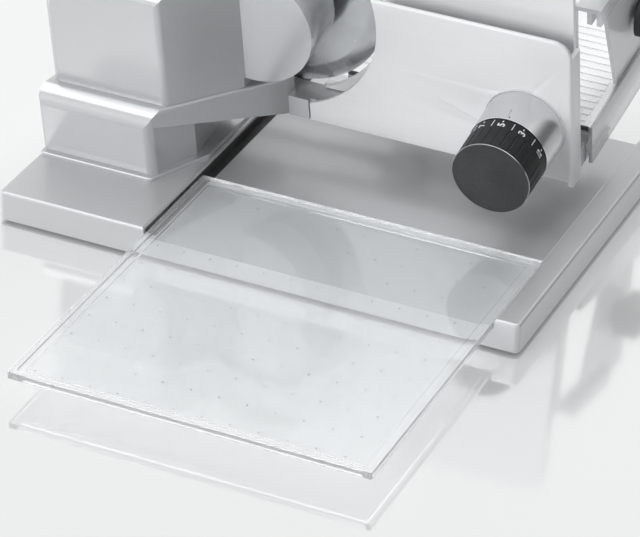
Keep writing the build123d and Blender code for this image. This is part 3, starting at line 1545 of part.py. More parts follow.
# White ribbed table in the frame, with a slot for the push wall
table_left = carriage_left + carriage_rim + seat_gap
table_right = skirt_left - seat_gap
table_front = carriage_front_depth + table_front_step
table_back = rim_back - seat_gap
table_plate_top = carriage_top - rib_height
push_left = table_right - push_wall_thickness
push_end = table_back - rib_border
rib_count = int((table_back - table_front - rib_border * 2) / rib_pitch)
with BuildPart() as carriage_table:
    block((table_left, table_right), (table_front, table_back), (table_seat + seat_gap, table_plate_top))
    for rib in range(rib_count):
        rib_start = table_front + rib_border + rib * rib_pitch
        block((table_left + rib_border, table_right - rib_border), (rib_start, rib_start + rib_width),
              (table_plate_top, carriage_top))
    block((push_left - seat_gap, table_right + cut_over),
          (push_wall_start_depth - seat_gap, push_end + seat_gap),
          (table_seat, carriage_top + cut_over), Mode.SUBTRACT)
save(carriage_table, "carriage_table")

with BuildPart() as push_wall:
    with BuildSketch(side(push_left)):
        with BuildLine():
            Polyline(
                (push_wall_start_depth, table_seat + seat_gap),
                (push_end, table_seat + seat_gap),
                (push_end, push_wall_top),
                (push_wall_start_depth - push_wall_lean, push_wall_top),
                (push_wall_start_depth, carriage_top + cut_over),
                close=True,
            )
        make_face()
    extrude(amount=push_wall_thickness)
save(push_wall, "push_wall")

grip_start = table_right + seat_gap
grip_body_start = grip_start + grip_neck
with BuildPart() as carriage_grip:
    with BuildSketch(side(grip_body_start)):
        with Locations((grip_depth, grip_height)):
            RectangleRounded(grip_length, grip_width, grip_width / 2 - grip_neck / 2)
    extrude(amount=grip_reach)
    fillet(carriage_grip.edges().group_by(Axis.X)[-1], grip_radius)
    pin_across([(grip_depth, grip_height)], grip_start, grip_body_start, grip_neck_radius)
save(carriage_grip, "carriage_grip")

# Food holder: a plate that hangs on the push wall's top edge and slides along it
holder_back = holder_depth + holder_thickness
hook_reach = (holder_depth, holder_depth + hook_length)
hook_outer = table_right + sliding_gap + hook_thickness
hook_inner = push_left - sliding_gap - hook_thickness
hook_low = push_wall_top + sliding_gap
handle_axis = (handle_across, handle_height)
with BuildPart() as food_holder:
    with BuildSketch(wall(holder_depth)) as holder_area:
        with Locations(((holder_left + holder_right) / 2, (holder_low + holder_top) / 2)):
            Rectangle(holder_right - holder_left, holder_top - holder_low)
        fillet(holder_area.vertices().group_by(Axis.X)[0], holder_corner_radius)
    extrude(amount=-holder_thickness)
    block((holder_right, hook_outer), hook_reach, (hook_low, hook_low + hook_thickness))
    block((hook_inner, hook_inner + hook_thickness), hook_reach,
          (push_wall_top - hook_drop, hook_low))
    block((hook_outer - hook_thickness, hook_outer), hook_reach,
          (push_wall_top - hook_drop, hook_low))
save(food_holder, "food_holder")

spike_across = [handle_across + (column - (spike_columns - 1) / 2) * spike_pitch
                for column in range(spike_columns)]
spike_heights = [spike_height + (row - (spike_rows - 1) / 2) * spike_pitch for row in range(spike_rows)]
spike_base_depth = holder_depth - spike_plate_thickness - seat_gap
with BuildPart() as spike_plate:
    block((handle_across - spike_plate_width / 2, handle_across + spike_plate_width / 2),
          (spike_base_depth, holder_depth - seat_gap),
          (spike_height - spike_plate_height / 2, spike_height + spike_plate_height / 2))
    for column in spike_across:
        for row in spike_heights:
            turned((column, row), [
                (0, spike_base_depth),
                (spike_radius, spike_base_depth),
                (spike_tip_radius, spike_base_depth - spike_length),
                (0, spike_base_depth - spike_length),
            ])
save(spike_plate, "spike_plate")

handle_start = holder_back + seat_gap
handle_body = handle_start + handle_neck_length
handle_end = handle_body + handle_length
with BuildPart() as holder_handle:
    pin_away([handle_axis], handle_start, handle_body, handle_neck_radius)
    pin_away([handle_axis], handle_body, handle_end, handle_radius)
    handle_edges = holder_handle.edges().filter_by(
        lambda edge: depth_of(edge.center()) > handle_body - seat_gap
        and edge.geom_type == GeomType.CIRCLE
        and edge.radius > handle_neck_radius + seat_gap
    )
    fillet(handle_edges, handle_round)
save(holder_handle, "holder_handle")
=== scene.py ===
import bmesh
import bpy
import math
import numpy as np
from mathutils import Matrix, Vector


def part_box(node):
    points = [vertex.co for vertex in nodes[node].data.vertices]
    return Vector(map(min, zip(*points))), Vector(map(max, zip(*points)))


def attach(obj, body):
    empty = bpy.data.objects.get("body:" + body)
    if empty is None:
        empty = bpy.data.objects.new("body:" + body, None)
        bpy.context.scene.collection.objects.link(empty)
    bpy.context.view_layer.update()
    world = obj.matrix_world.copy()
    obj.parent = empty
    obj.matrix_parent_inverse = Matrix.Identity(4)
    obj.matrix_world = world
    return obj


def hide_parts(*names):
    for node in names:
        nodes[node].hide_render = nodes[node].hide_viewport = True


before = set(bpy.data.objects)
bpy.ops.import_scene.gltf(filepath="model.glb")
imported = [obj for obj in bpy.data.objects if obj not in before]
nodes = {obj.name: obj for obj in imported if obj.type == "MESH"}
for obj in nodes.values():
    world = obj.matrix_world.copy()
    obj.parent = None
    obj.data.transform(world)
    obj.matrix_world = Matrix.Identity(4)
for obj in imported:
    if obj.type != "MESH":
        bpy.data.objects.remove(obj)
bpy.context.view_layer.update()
print("frame loaded,", len(nodes), "CAD nodes")

# The upper unit leans towards the tray. Its own axes: x across, a along the knob's axis, n up the wall.
unitLean = {"angle": math.radians(9.5), "start": (-0.014, 0.052, 0.0285)}
awayAxis = np.array([0.0, math.cos(unitLean["angle"]), math.sin(unitLean["angle"])])
upAxis = np.array([0.0, -math.sin(unitLean["angle"]), math.cos(unitLean["angle"])])
millimetre = 0.001
white = (1.0, 1.0, 1.0, 1.0)


def leaned(across, away, up):
    # millimetres in the leaning unit's axes to metres in the frame: start + x ex + a ea + n en
    across, away, up = np.broadcast_arrays(across, away, up)
    spot = across[..., None] * np.array([1.0, 0.0, 0.0]) + away[..., None] * awayAxis + up[..., None] * upAxis
    return np.array(unitLean["start"]) + spot * millimetre


# Shader helpers
def plug(tree, value, socket):
    # another node's output is linked, a constant goes on the socket
    if isinstance(value, bpy.types.NodeSocket):
        tree.links.new(value, socket)
    else:
        socket.default_value = value


def newNode(tree, kind, values):
    # values are keyed by an input's name or its index
    node = tree.nodes.new(kind)
    for key, value in values.items():
        plug(tree, value, node.inputs[key])
    return node


def mathNode(tree, operation, first, second=None):
    node = newNode(tree, "ShaderNodeMath", {0: first} if second is None else {0: first, 1: second})
    node.operation = operation
    return node.outputs[0]


def vectorNode(tree, operation, first, second=None, output=0):
    node = newNode(tree, "ShaderNodeVectorMath", {0: first} if second is None else {0: first, 1: second})
    node.operation = operation
    return node.outputs[output]


def between(tree, mask, low, high, span=(0.0, 1.0), curve="LINEAR"):
    node = newNode(tree, "ShaderNodeMapRange",
                   {"Value": mask, "From Min": span[0], "From Max": span[1], "To Min": low, "To Max": high})
    node.interpolation_type = curve
    return node.outputs["Result"]


def objectSpot(tree):
    return tree.nodes.new("ShaderNodeTexCoord").outputs["Object"]


def seenRay(tree):
    # 1 for rays from the camera, a mirror or glass, 0 for the rays that light things
    path = tree.nodes.new("ShaderNodeLightPath").outputs
    seen = mathNode(tree, "MAXIMUM", path["Is Camera Ray"], path["Is Glossy Ray"])
    return mathNode(tree, "MAXIMUM", seen, path["Is Transmission Ray"])


# Camera, lamps and room
cameraSetup = {"place": (1.154, -2.0245, 1.3905), "yaw": 24.3485, "pitch": 31.6457, "roll": 1.17907,
               "focalPixels": 3686.3, "imageWidth": 640, "sensor": 36.0, "farEnd": 50.0}


def placeCamera(setup):
    yaw, pitch, roll = (math.radians(setup[k]) for k in ("yaw", "pitch", "roll"))
    forward = np.array([-math.sin(yaw) * math.cos(pitch), math.cos(yaw) * math.cos(pitch), -math.sin(pitch)])
    right = np.array([math.cos(yaw), math.sin(yaw), 0.0])
    down = np.cross(forward, right)
    rolledRight = math.cos(roll) * right - math.sin(roll) * down
    rolledDown = math.sin(roll) * right + math.cos(roll) * down
    data = bpy.data.cameras.new("photoCamera")
    data.sensor_fit = "HORIZONTAL"
    data.sensor_width = setup["sensor"]
    data.lens = setup["sensor"] * setup["focalPixels"] / setup["imageWidth"]
    data.clip_end = setup["farEnd"]
    camera = bpy.data.objects.new("photoCamera", data)
    bpy.context.scene.collection.objects.link(camera)
    turn = Matrix(np.column_stack([rolledRight, -rolledDown, -forward]).tolist())
    camera.matrix_world = Matrix.Translation(setup["place"]) @ turn.to_4x4()
    bpy.context.scene.camera = camera


placeCamera(cameraSetup)

lampSetup = {
    "softboxAbove": {"place": (-0.2, 0.1, 1.9), "aim": (0.2, 0.1, 0.05), "size": 1.7, "power": 13.0,
                     "mirrored": True},
    "softboxHigh": {"place": (0.3, 1.2, 1.7), "aim": (0.25, 0.15, 0.05), "size": 1.0, "power": 8.0,
                    "mirrored": False},
    "softboxBack": {"place": (0.1, 2.4, 0.6), "aim": (0.25, 0.2, 0.03), "size": 1.4, "power": 44.0,
                    "mirrored": False},
    "softboxLeft": {"place": (-2.8, -1.0, 1.0), "aim": (0.1, 0.1, 0.08), "size": 1.8, "power": 14.0,
                    "mirrored": True},
    "softboxEdge": {"place": (-0.8, -1.2, 2.0), "aim": (0.15, 0.1, 0.05), "size": 0.7, "power": 4.5,
                    "mirrored": True},
    "softboxFront": {"place": (-0.8, -3.0, 0.8), "aim": (0.3, 0.1, 0.09), "size": 2.0, "power": 76.0,
                     "mirrored": False},
}


def placeLamp(name, setup):
    data = bpy.data.lights.new(name, "AREA")
    data.shape = "SQUARE"
    data.size = setup["size"]
    data.energy = setup["power"]
    lamp = bpy.data.objects.new(name, data)
    bpy.context.scene.collection.objects.link(lamp)
    lamp.visible_glossy = setup["mirrored"]
    aim = Vector(setup["aim"]) - Vector(setup["place"])
    lamp.matrix_world = Matrix.Translation(setup["place"]) @ aim.to_track_quat("-Z", "Y").to_matrix().to_4x4()


for lampName, setup in lampSetup.items():
    placeLamp(lampName, setup)

roomSetup = {"seenStrength": 1.0, "lightStrength": 0.32, "lightColour": (0.985, 0.99, 1.0, 1.0),
             "greySide": (0.75, 0.6, -0.35), "greyLevel": 0.15, "greySpan": (0.45, 0.85)}


def lightRoom(setup):
    world = bpy.data.worlds.new("whiteRoom")
    bpy.context.scene.world = world
    world.use_nodes = True
    tree = world.node_tree
    tree.nodes.clear()
    # a mirror sees the room fade to soft grey at its right, as a studio's dark side does
    towards = vectorNode(tree, "DOT_PRODUCT", tree.nodes.new("ShaderNodeTexCoord").outputs["Generated"],
                         Vector(setup["greySide"]).normalized(), "Value")
    fade = between(tree, towards, 0.0, setup["seenStrength"] - setup["greyLevel"], setup["greySpan"],
                   "SMOOTHSTEP")
    glossy = tree.nodes.new("ShaderNodeLightPath").outputs["Is Glossy Ray"]
    strength = mathNode(tree, "SUBTRACT", setup["seenStrength"], mathNode(tree, "MULTIPLY", fade, glossy))
    lit = newNode(tree, "ShaderNodeBackground",
                  {"Color": setup["lightColour"], "Strength": setup["lightStrength"]})
    seen = newNode(tree, "ShaderNodeBackground", {"Color": white, "Strength": strength})
    mix = newNode(tree, "ShaderNodeMixShader", {0: seenRay(tree), 1: lit.outputs[0], 2: seen.outputs[0]})
    newNode(tree, "ShaderNodeOutputWorld", {"Surface": mix.outputs[0]})


lightRoom(roomSetup)
bpy.context.scene.view_settings.view_transform = "Standard"


def meshObject(name, points, faces, smooth=True):
    mesh = bpy.data.meshes.new(name)
    mesh.from_pydata(np.asarray(points).reshape(-1, 3).tolist(), [], faces)
    mesh.validate()
    mesh.polygons.foreach_set("use_smooth", [smooth] * len(mesh.polygons))
    mesh.update()
    piece = bpy.data.objects.new(name, mesh)
    bpy.context.scene.collection.objects.link(piece)
    return piece


tableSetup = {"half": 3.0, "colour": (0.50, 0.505, 0.51, 1.0), "lift": 0.13, "gloss": 0.44,
              "glossRoughness": 0.08}


def layTable(setup):
    # a matt white top with a soft mirror, and a little glow where it is seen
    half = setup["half"]
    corners = [(-half, -half, 0), (half, -half, 0), (half, half, 0), (-half, half, 0)]
    table = meshObject("whiteTable", corners, [(0, 1, 2, 3)], smooth=False)
    material = bpy.data.materials.new("whiteTable")
    material.use_nodes = True
    tree = material.node_tree
    tree.nodes.clear()
    matt = newNode(tree, "ShaderNodeBsdfDiffuse", {"Color": setup["colour"]})
    shine = newNode(tree, "ShaderNodeBsdfGlossy", {"Color": white, "Roughness": setup["glossRoughness"]})
    mixed = newNode(tree, "ShaderNodeMixShader", {0: setup["gloss"], 1: matt.outputs[0], 2: shine.outputs[0]})
    level = mathNode(tree, "MULTIPLY", seenRay(tree), setup["lift"])
    glow = newNode(tree, "ShaderNodeEmission", {"Color": white, "Strength": level})
    added = newNode(tree, "ShaderNodeAddShader", {0: mixed.outputs[0], 1: glow.outputs[0]})
    newNode(tree, "ShaderNodeOutputMaterial", {"Surface": added.outputs[0]})
    table.data.materials.append(material)


layTable(tableSetup)
print("camera, lamps and table placed")


# Shared shader effects
def effectGroup(name, inputs, outputs):
    tree = bpy.data.node_groups.new(name, "ShaderNodeTree")
    for label, kind, value in inputs:
        socket = tree.interface.new_socket(name=label, in_out="INPUT", socket_type=kind)
        socket.default_value = value
    for label in outputs:
        tree.interface.new_socket(name=label, in_out="OUTPUT", socket_type="NodeSocketFloat")
    return tree, tree.nodes.new("NodeGroupInput"), tree.nodes.new("NodeGroupOutput")


def noiseNode(tree, vector, scale, detail, roughness=0.5, kind="3D"):
    node = newNode(tree, "ShaderNodeTexNoise",
                   {"Vector": vector, "Scale": scale, "Detail": detail, "Roughness": roughness})
    node.noise_dimensions = kind
    return node.outputs["Fac"]


def buildGrain():
    # fine even grain: noise at one scale, its height times a slower noise that makes it uneven
    tree, start, end = effectGroup(
        "fineGrain", [("Scale", "NodeSocketFloat", 900.0), ("Patch Scale", "NodeSocketFloat", 14.0)],
        ["Mask", "Height"])
    coordinates = objectSpot(tree)
    fine = noiseNode(tree, coordinates, start.outputs["Scale"], detail=3.0, roughness=0.6)
    patch = noiseNode(tree, coordinates, start.outputs["Patch Scale"], detail=2.0)
    leastHeight = 0.5
    tree.links.new(fine, end.inputs["Mask"])
    uneven = mathNode(tree, "ADD", patch, leastHeight)
    tree.links.new(mathNode(tree, "MULTIPLY", fine, uneven), end.inputs["Height"])
    return tree


def buildFlakes():
    # metal flakes in lacquer: the cells of a fine Voronoi pattern, each with its own brightness
    tree, start, end = effectGroup(
        "lacquerFlakes", [("Scale", "NodeSocketFloat", 1500.0), ("Peel Scale", "NodeSocketFloat", 260.0)],
        ["Mask", "Height"])
    coordinates = objectSpot(tree)
    cells = newNode(tree, "ShaderNodeTexVoronoi", {"Vector": coordinates, "Scale": start.outputs["Scale"]})
    parts = newNode(tree, "ShaderNodeSeparateColor", {0: cells.outputs["Color"]})
    tree.links.new(parts.outputs[0], end.inputs["Mask"])
    peel = noiseNode(tree, coordinates, start.outputs["Peel Scale"], detail=1.0)
    tree.links.new(peel, end.inputs["Height"])
    return tree


def buildLines():
    # brushed or ground lines: noise squeezed across the given stretch
    tree, start, end = effectGroup(
        "brushedLines",
        [("Stretch", "NodeSocketVector", (20.0, 900.0, 900.0)), ("Scale", "NodeSocketFloat", 1.0)],
        ["Mask", "Height"])
    stretched = vectorNode(tree, "MULTIPLY", objectSpot(tree), start.outputs["Stretch"])
    lines = noiseNode(tree, stretched, start.outputs["Scale"], detail=4.0, roughness=0.65)
    tree.links.new(lines, end.inputs["Mask"])
    tree.links.new(lines, end.inputs["Height"])
    return tree


def buildRings():
    # turned rings: noise of the distance from an axis that leans as the unit does, and of the way along it
    tree, start, end = effectGroup(
        "turnedRings",
        [("Centre", "NodeSocketVector", (0.0, 0.0, 0.0)), ("Scale", "NodeSocketFloat", 1600.0)],
        ["Mask", "Height"])
    shift = vectorNode(tree, "SUBTRACT", objectSpot(tree), start.outputs["Centre"])
    along = vectorNode(tree, "DOT_PRODUCT", shift, awayAxis.tolist(), "Value")
    length = vectorNode(tree, "LENGTH", shift, output="Value")
    squared = mathNode(tree, "MULTIPLY", length, length)
    awaySquared = mathNode(tree, "MULTIPLY", along, along)
    acrossSquared = mathNode(tree, "MAXIMUM", mathNode(tree, "SUBTRACT", squared, awaySquared), 0.0)
    joined = newNode(tree, "ShaderNodeCombineXYZ", {0: mathNode(tree, "SQRT", acrossSquared), 1: along})
    rings = noiseNode(tree, joined.outputs[0], start.outputs["Scale"], detail=3.0, roughness=0.7, kind="2D")
    tree.links.new(rings, end.inputs["Mask"])
    tree.links.new(rings, end.inputs["Height"])
    return tree


def buildHandling():
    # faint dust and finger marks: a broad and a fine noise multiplied, most where both are high
    tree, start, end = effectGroup("handlingMarks", [("Scale", "NodeSocketFloat", 22.0)], ["Mask"])
    coordinates = objectSpot(tree)
    fineShare = 9.0
    broad = noiseNode(tree, coordinates, start.outputs["Scale"], detail=3.0, roughness=0.6)
    fineScale = mathNode(tree, "MULTIPLY", start.outputs["Scale"], fineShare)
    fine = noiseNode(tree, coordinates, fineScale, detail=2.0)
    tree.links.new(mathNode(tree, "MULTIPLY", broad, fine), end.inputs["Mask"])
    return tree


effects = {"grain": buildGrain(), "flakes": buildFlakes(), "lines": buildLines(), "rings": buildRings(),
           "handling": buildHandling()}


def placeEffect(tree, effect, values):
    node = tree.nodes.new("ShaderNodeGroup")
    node.node_tree = effects[effect]
    for label, value in values.items():
        node.inputs[label].default_value = value
    return node.outputs


def mixColours(tree, mask, first, second):
    # of a mix node's sockets, 6 and 7 are its two colours and output 2 is the mixed one
    node = tree.nodes.new("ShaderNodeMix")
    node.data_type = "RGBA"
    plug(tree, mask, node.inputs["Factor"])
    for index, value in ((6, first), (7, second)):
        plug(tree, value + (1.0,) if isinstance(value, tuple) else value, node.inputs[index])
    return node.outputs[2]


finishDefaults = {"effectValues": {}, "maskSpan": (0.3, 0.7), "dust": 0.06, "dustColour": (0.62, 0.61, 0.6),
                  "markRough": 0.06, "markScale": 22.0, "markSpan": (0.2, 0.42), "metallic": 0.0}
constantSockets = {"metallic": "Metallic", "coat": "Coat Weight", "coatRough": "Coat Roughness", "ior": "IOR",
                   "alpha": "Alpha", "specular": "Specular IOR Level", "transmission": "Transmission Weight"}


def makeFinish(name, ownLook):
    # colour and roughness each run between two values along an effect's mask; handling marks add roughness
    look = {**finishDefaults, **ownLook}
    material = bpy.data.materials.new(name)
    material.use_nodes = True
    tree = material.node_tree
    sockets = tree.nodes["Principled BSDF"].inputs
    effect = placeEffect(tree, look["effect"], look["effectValues"])
    marks = placeEffect(tree, "handling", {"Scale": look["markScale"]})["Mask"]
    span = between(tree, effect["Mask"], 0.0, 1.0, look["maskSpan"])
    colour = mixColours(tree, span, look["colour"], look["colourTo"])
    dusty = between(tree, marks, 0.0, look["dust"], look["markSpan"])
    tree.links.new(mixColours(tree, dusty, colour, look["dustColour"]), sockets["Base Color"])
    worn = between(tree, marks, 0.0, look["markRough"], look["markSpan"])
    tree.links.new(mathNode(tree, "ADD", between(tree, span, *look["rough"]), worn), sockets["Roughness"])
    bump = newNode(tree, "ShaderNodeBump",
                   {"Height": effect["Height"], "Distance": look["bump"], "Strength": 1.0})
    tree.links.new(bump.outputs["Normal"], sockets["Normal"])
    for key, label in constantSockets.items():
        if key in look:
            sockets[label].default_value = look[key]
    if "shadowAlpha" in look:
        # clear plastic lets most light through to what lies under it
        shadowRay = tree.nodes.new("ShaderNodeLightPath").outputs["Is Shadow Ray"]
        tree.links.new(between(tree, shadowRay, 1.0, look["shadowAlpha"]), sockets["Alpha"])
    return material


# The centres that turned rings run round, on the axes of knob, blade and motor
knobCentre = leaned(345.4, 60.0, 41.6).tolist()
bladeCentre = leaned(141.0, 120.0, 97.0).tolist()
motorCentre = leaned(84.75, 80.0, 97.0).tolist()

finishLooks = {
    "silverLacquer": {"effect": "flakes", "effectValues": {"Scale": 2600.0}, "maskSpan": (0.0, 1.0),
                      "colour": (0.53, 0.54, 0.55), "colourTo": (0.545, 0.555, 0.565), "rough": (0.20, 0.205),
                      "metallic": 0.5, "bump": 0.0000002, "coat": 0.6, "coatRough": 0.04, "dust": 0.01,
                      "markRough": 0.01},
    "baseLacquer": {"effect": "flakes", "effectValues": {"Scale": 2600.0}, "maskSpan": (0.0, 1.0),
                    "colour": (0.53, 0.54, 0.55), "colourTo": (0.545, 0.555, 0.565), "rough": (0.32, 0.33),
                    "metallic": 0.45, "bump": 0.0000002, "coat": 0.35, "coatRough": 0.08, "dust": 0.01,
                    "markRough": 0.01},
    "brightSheet": {"effect": "lines", "effectValues": {"Stretch": (14.0, 900.0, 900.0)},
                    "colour": (0.72, 0.73, 0.74), "colourTo": (0.74, 0.75, 0.76), "rough": (0.32, 0.36),
                    "metallic": 0.08, "bump": 0.0000008, "coat": 0.3, "coatRough": 0.06, "dust": 0.02},
    "satinCollar": {"effect": "rings", "effectValues": {"Centre": knobCentre, "Scale": 1400.0},
                    "colour": (0.66, 0.67, 0.68), "colourTo": (0.67, 0.68, 0.69), "rough": (0.25, 0.26),
                    "metallic": 1.0, "bump": 0.00000002, "dust": 0.01, "markRough": 0.01},
    "knobBlack": {"effect": "grain", "effectValues": {"Scale": 1500.0}, "colour": (0.009, 0.009, 0.010),
                  "colourTo": (0.020, 0.021, 0.023), "rough": (0.42, 0.55), "bump": 0.00004, "dust": 0.02,
                  "specular": 0.22},
    "capBlack": {"effect": "grain", "effectValues": {"Scale": 1500.0}, "colour": (0.014, 0.014, 0.015),
                 "colourTo": (0.030, 0.031, 0.033), "rough": (0.26, 0.34), "bump": 0.00002, "dust": 0.02,
                 "specular": 0.5},
    "trimChrome": {"effect": "rings", "effectValues": {"Centre": knobCentre, "Scale": 2600.0},
                   "colour": (0.80, 0.81, 0.82), "colourTo": (0.9, 0.9, 0.91), "rough": (0.06, 0.12),
                   "metallic": 1.0, "bump": 0.000003},
    "mouldedBlack": {"effect": "grain", "effectValues": {"Scale": 1100.0}, "colour": (0.018, 0.018, 0.019),
                     "colourTo": (0.034, 0.035, 0.036), "rough": (0.42, 0.58), "bump": 0.00008},
    "footRubber": {"effect": "grain", "effectValues": {"Scale": 700.0}, "colour": (0.014, 0.014, 0.014),
                   "colourTo": (0.035, 0.034, 0.033), "rough": (0.65, 0.85), "bump": 0.00015, "dust": 0.2},
    "clearPlastic": {"effect": "grain", "effectValues": {"Scale": 300.0}, "colour": (0.91, 0.925, 0.93),
                     "colourTo": (0.93, 0.945, 0.95), "rough": (0.05, 0.07), "bump": 0.000001,
                     "transmission": 0.86, "ior": 1.42, "dust": 0.01, "markRough": 0.01, "shadowAlpha": 0.4},
    "holderPlastic": {"effect": "grain", "effectValues": {"Scale": 300.0}, "colour": (0.62, 0.63, 0.65),
                      "colourTo": (0.68, 0.69, 0.71), "rough": (0.12, 0.2), "bump": 0.00002, "alpha": 0.62,
                      "coat": 0.5, "coatRough": 0.05},
    "tableWhite": {"effect": "grain", "effectValues": {"Scale": 800.0}, "colour": (0.92, 0.925, 0.93),
                   "colourTo": (0.95, 0.955, 0.96), "rough": (0.22, 0.32), "bump": 0.000008, "dust": 0.02},
    "bladeGround": {"effect": "rings", "effectValues": {"Centre": bladeCentre, "Scale": 1900.0},
                    "colour": (0.64, 0.65, 0.66), "colourTo": (0.70, 0.71, 0.72), "rough": (0.18, 0.24),
                    "metallic": 1.0, "bump": 0.000001},
    "spikeSteel": {"effect": "lines", "effectValues": {"Stretch": (60.0, 900.0, 900.0)},
                   "colour": (0.56, 0.57, 0.58), "colourTo": (0.70, 0.71, 0.72), "rough": (0.22, 0.36),
                   "metallic": 1.0, "bump": 0.00001},
    "rodSteel": {"effect": "lines", "effectValues": {"Stretch": (8.0, 1200.0, 1200.0)},
                 "colour": (0.62, 0.63, 0.64), "colourTo": (0.72, 0.73, 0.74), "rough": (0.10, 0.2),
                 "metallic": 1.0, "bump": 0.000004},
    "screwSteel": {"effect": "grain", "effectValues": {"Scale": 1300.0}, "colour": (0.42, 0.43, 0.44),
                   "colourTo": (0.60, 0.61, 0.62), "rough": (0.26, 0.42), "metallic": 1.0, "bump": 0.00002},
    "bearingSteel": {"effect": "rings", "effectValues": {"Centre": bladeCentre, "Scale": 2400.0},
                     "colour": (0.50, 0.51, 0.52), "colourTo": (0.68, 0.69, 0.70), "rough": (0.14, 0.26),
                     "metallic": 1.0, "bump": 0.000008},
    "motorSteel": {"effect": "rings", "effectValues": {"Centre": motorCentre, "Scale": 1200.0},
                   "colour": (0.40, 0.41, 0.42), "colourTo": (0.54, 0.55, 0.56), "rough": (0.28, 0.42),
                   "metallic": 1.0, "bump": 0.00001},
    "rotorCopper": {"effect": "lines", "effectValues": {"Stretch": (1400.0, 60.0, 1400.0)},
                    "colour": (0.42, 0.17, 0.07), "colourTo": (0.62, 0.30, 0.14), "rough": (0.24, 0.4),
                    "metallic": 1.0, "bump": 0.00006},
    "gearNylon": {"effect": "grain", "effectValues": {"Scale": 500.0}, "colour": (0.74, 0.72, 0.65),
                  "colourTo": (0.80, 0.78, 0.72), "rough": (0.35, 0.48), "bump": 0.00004},
    "castMetal": {"effect": "grain", "effectValues": {"Scale": 620.0}, "colour": (0.40, 0.41, 0.42),
                  "colourTo": (0.54, 0.55, 0.56), "rough": (0.38, 0.55), "metallic": 0.85, "bump": 0.0001},
    "boardGreen": {"effect": "lines", "effectValues": {"Stretch": (220.0, 420.0, 220.0)},
                   "colour": (0.02, 0.13, 0.06), "colourTo": (0.04, 0.22, 0.10), "rough": (0.25, 0.38),
                   "bump": 0.00003, "maskSpan": (0.45, 0.55)},
    "buttonWhite": {"effect": "grain", "effectValues": {"Scale": 900.0}, "colour": (0.74, 0.75, 0.76),
                    "colourTo": (0.80, 0.81, 0.82), "rough": (0.18, 0.26), "bump": 0.00002},
    "buttonGrey": {"effect": "grain", "effectValues": {"Scale": 900.0}, "colour": (0.16, 0.17, 0.18),
                   "colourTo": (0.22, 0.23, 0.24), "rough": (0.3, 0.42), "bump": 0.00004},
    "figureWhite": {"effect": "grain", "effectValues": {"Scale": 1200.0}, "colour": (0.72, 0.73, 0.74),
                    "colourTo": (0.80, 0.81, 0.82), "rough": (0.4, 0.5), "bump": 0.00001, "dust": 0.02},
}
finishes = {name: makeFinish(name, look) for name, look in finishLooks.items()}
print("finishes made:", len(finishes))

nodeFinishes = {
    "baseLacquer": ["base_body"],
    "silverLacquer": ["housing_plinth", "drive_foot", "bridge_beam", "beam_end_cap", "motor_cover",
                      "gear_case", "gear_plate", "carriage_frame"],
    "brightSheet": ["fence_carrier", "fence_plate", "push_wall"],
    "satinCollar": ["knob_collar", "fence_sleeve"],
    "knobBlack": ["thickness_knob"],
    "capBlack": ["knob_cap"],
    "trimChrome": ["knob_trim_ring", "switch_bezel"],
    "mouldedBlack": ["base_cover", "channel_guide_strip", "cord_inlet", "blade_guard", "switch_block",
                     "carriage_grip", "holder_handle", "fence_shoe"],
    "footRubber": ["front_left_foot", "front_right_foot", "rear_left_foot", "rear_right_foot"],
    "clearPlastic": ["serving_tray"],
    "tableWhite": ["carriage_table"],
    "holderPlastic": ["food_holder"],
    "bladeGround": ["round_blade"],
    "spikeSteel": ["spike_plate"],
    "rodSteel": ["front_rod", "rear_rod", "blade_shaft", "knob_spindle"],
    "screwSteel": ["base_screws", "beam_screws", "carrier_screws", "plate_screws", "guard_screws",
                   "bracket_screws", "blade_screws", "fence_screws"],
    "bearingSteel": ["front_bearing", "rear_bearing", "drive_pinion"],
    "motorSteel": ["motor_can"],
    "rotorCopper": ["motor_rotor"],
    "gearNylon": ["blade_gear", "rod_bushes"],
    "castMetal": ["left_bracket", "right_bracket"],
    "boardGreen": ["control_board"],
    "buttonWhite": ["on_button"],
    "buttonGrey": ["off_button"],
}
for finish, members in nodeFinishes.items():
    for member in members:
        slots = nodes[member].data.materials
        slots.clear()
        slots.append(finishes[finish])
print("CAD nodes finished")

# Dial figures on the knob's smooth band
dialFigures = {"axis": (345.4, 41.6), "radius": 29.6, "proud": 0.05, "thick": 0.12, "height": 5.6,
               "width": 3.4, "middle": 63.6,
               "figures": [("7", -33.5), ("5", -3.0), ("3", 28.5), ("1/2", 66.5)],
               "longStretch": (1.15, 1.1), "stroke": 0.025, "extrude": 0.05, "curveSteps": 4,
               "dotEnds": (66.7, 68.4), "dotWidth": 0.9, "ticks": (-64.0, -48.5, -16.5, 14.0, 49.0),
               "tickEnds": (61.6, 68.4), "tickWidth": 0.6}


def onBand(angle, away, lift, setup):
    # angle in radians from the wall's up direction towards +X: axis + (r + lift)(sin, cos)
    across = setup["axis"][0] + (setup["radius"] + lift) * np.sin(angle)
    up = setup["axis"][1] + (setup["radius"] + lift) * np.cos(angle)
    return leaned(across, away, up)


def bandBars(bars, setup, columns=5):
    # each bar is a curved slab: four rows of points round its section, closed at both ends
    points, faces = [], []
    for degrees, (nearEnd, farEnd), width in bars:
        half = width / setup["radius"] / 2
        angle = math.radians(degrees) + np.linspace(-half, half, columns)
        base = len(points)
        for away, side in ((nearEnd, -1), (farEnd, -1), (farEnd, 1), (nearEnd, 1)):
            lift = setup["proud"] + side * setup["thick"]
            points.extend(onBand(angle, np.full(columns, float(away)), lift, setup))
        for row in range(4):
            here, there = base + row * columns, base + (row + 1) % 4 * columns
            faces += [(here + k, here + k + 1, there + k + 1, there + k) for k in range(columns - 1)]
        for k in (0, columns - 1):
            ring = [base + row * columns + k for row in range(4)]
            faces.append(ring[::-1] if k == 0 else ring)
    return np.array(points), faces


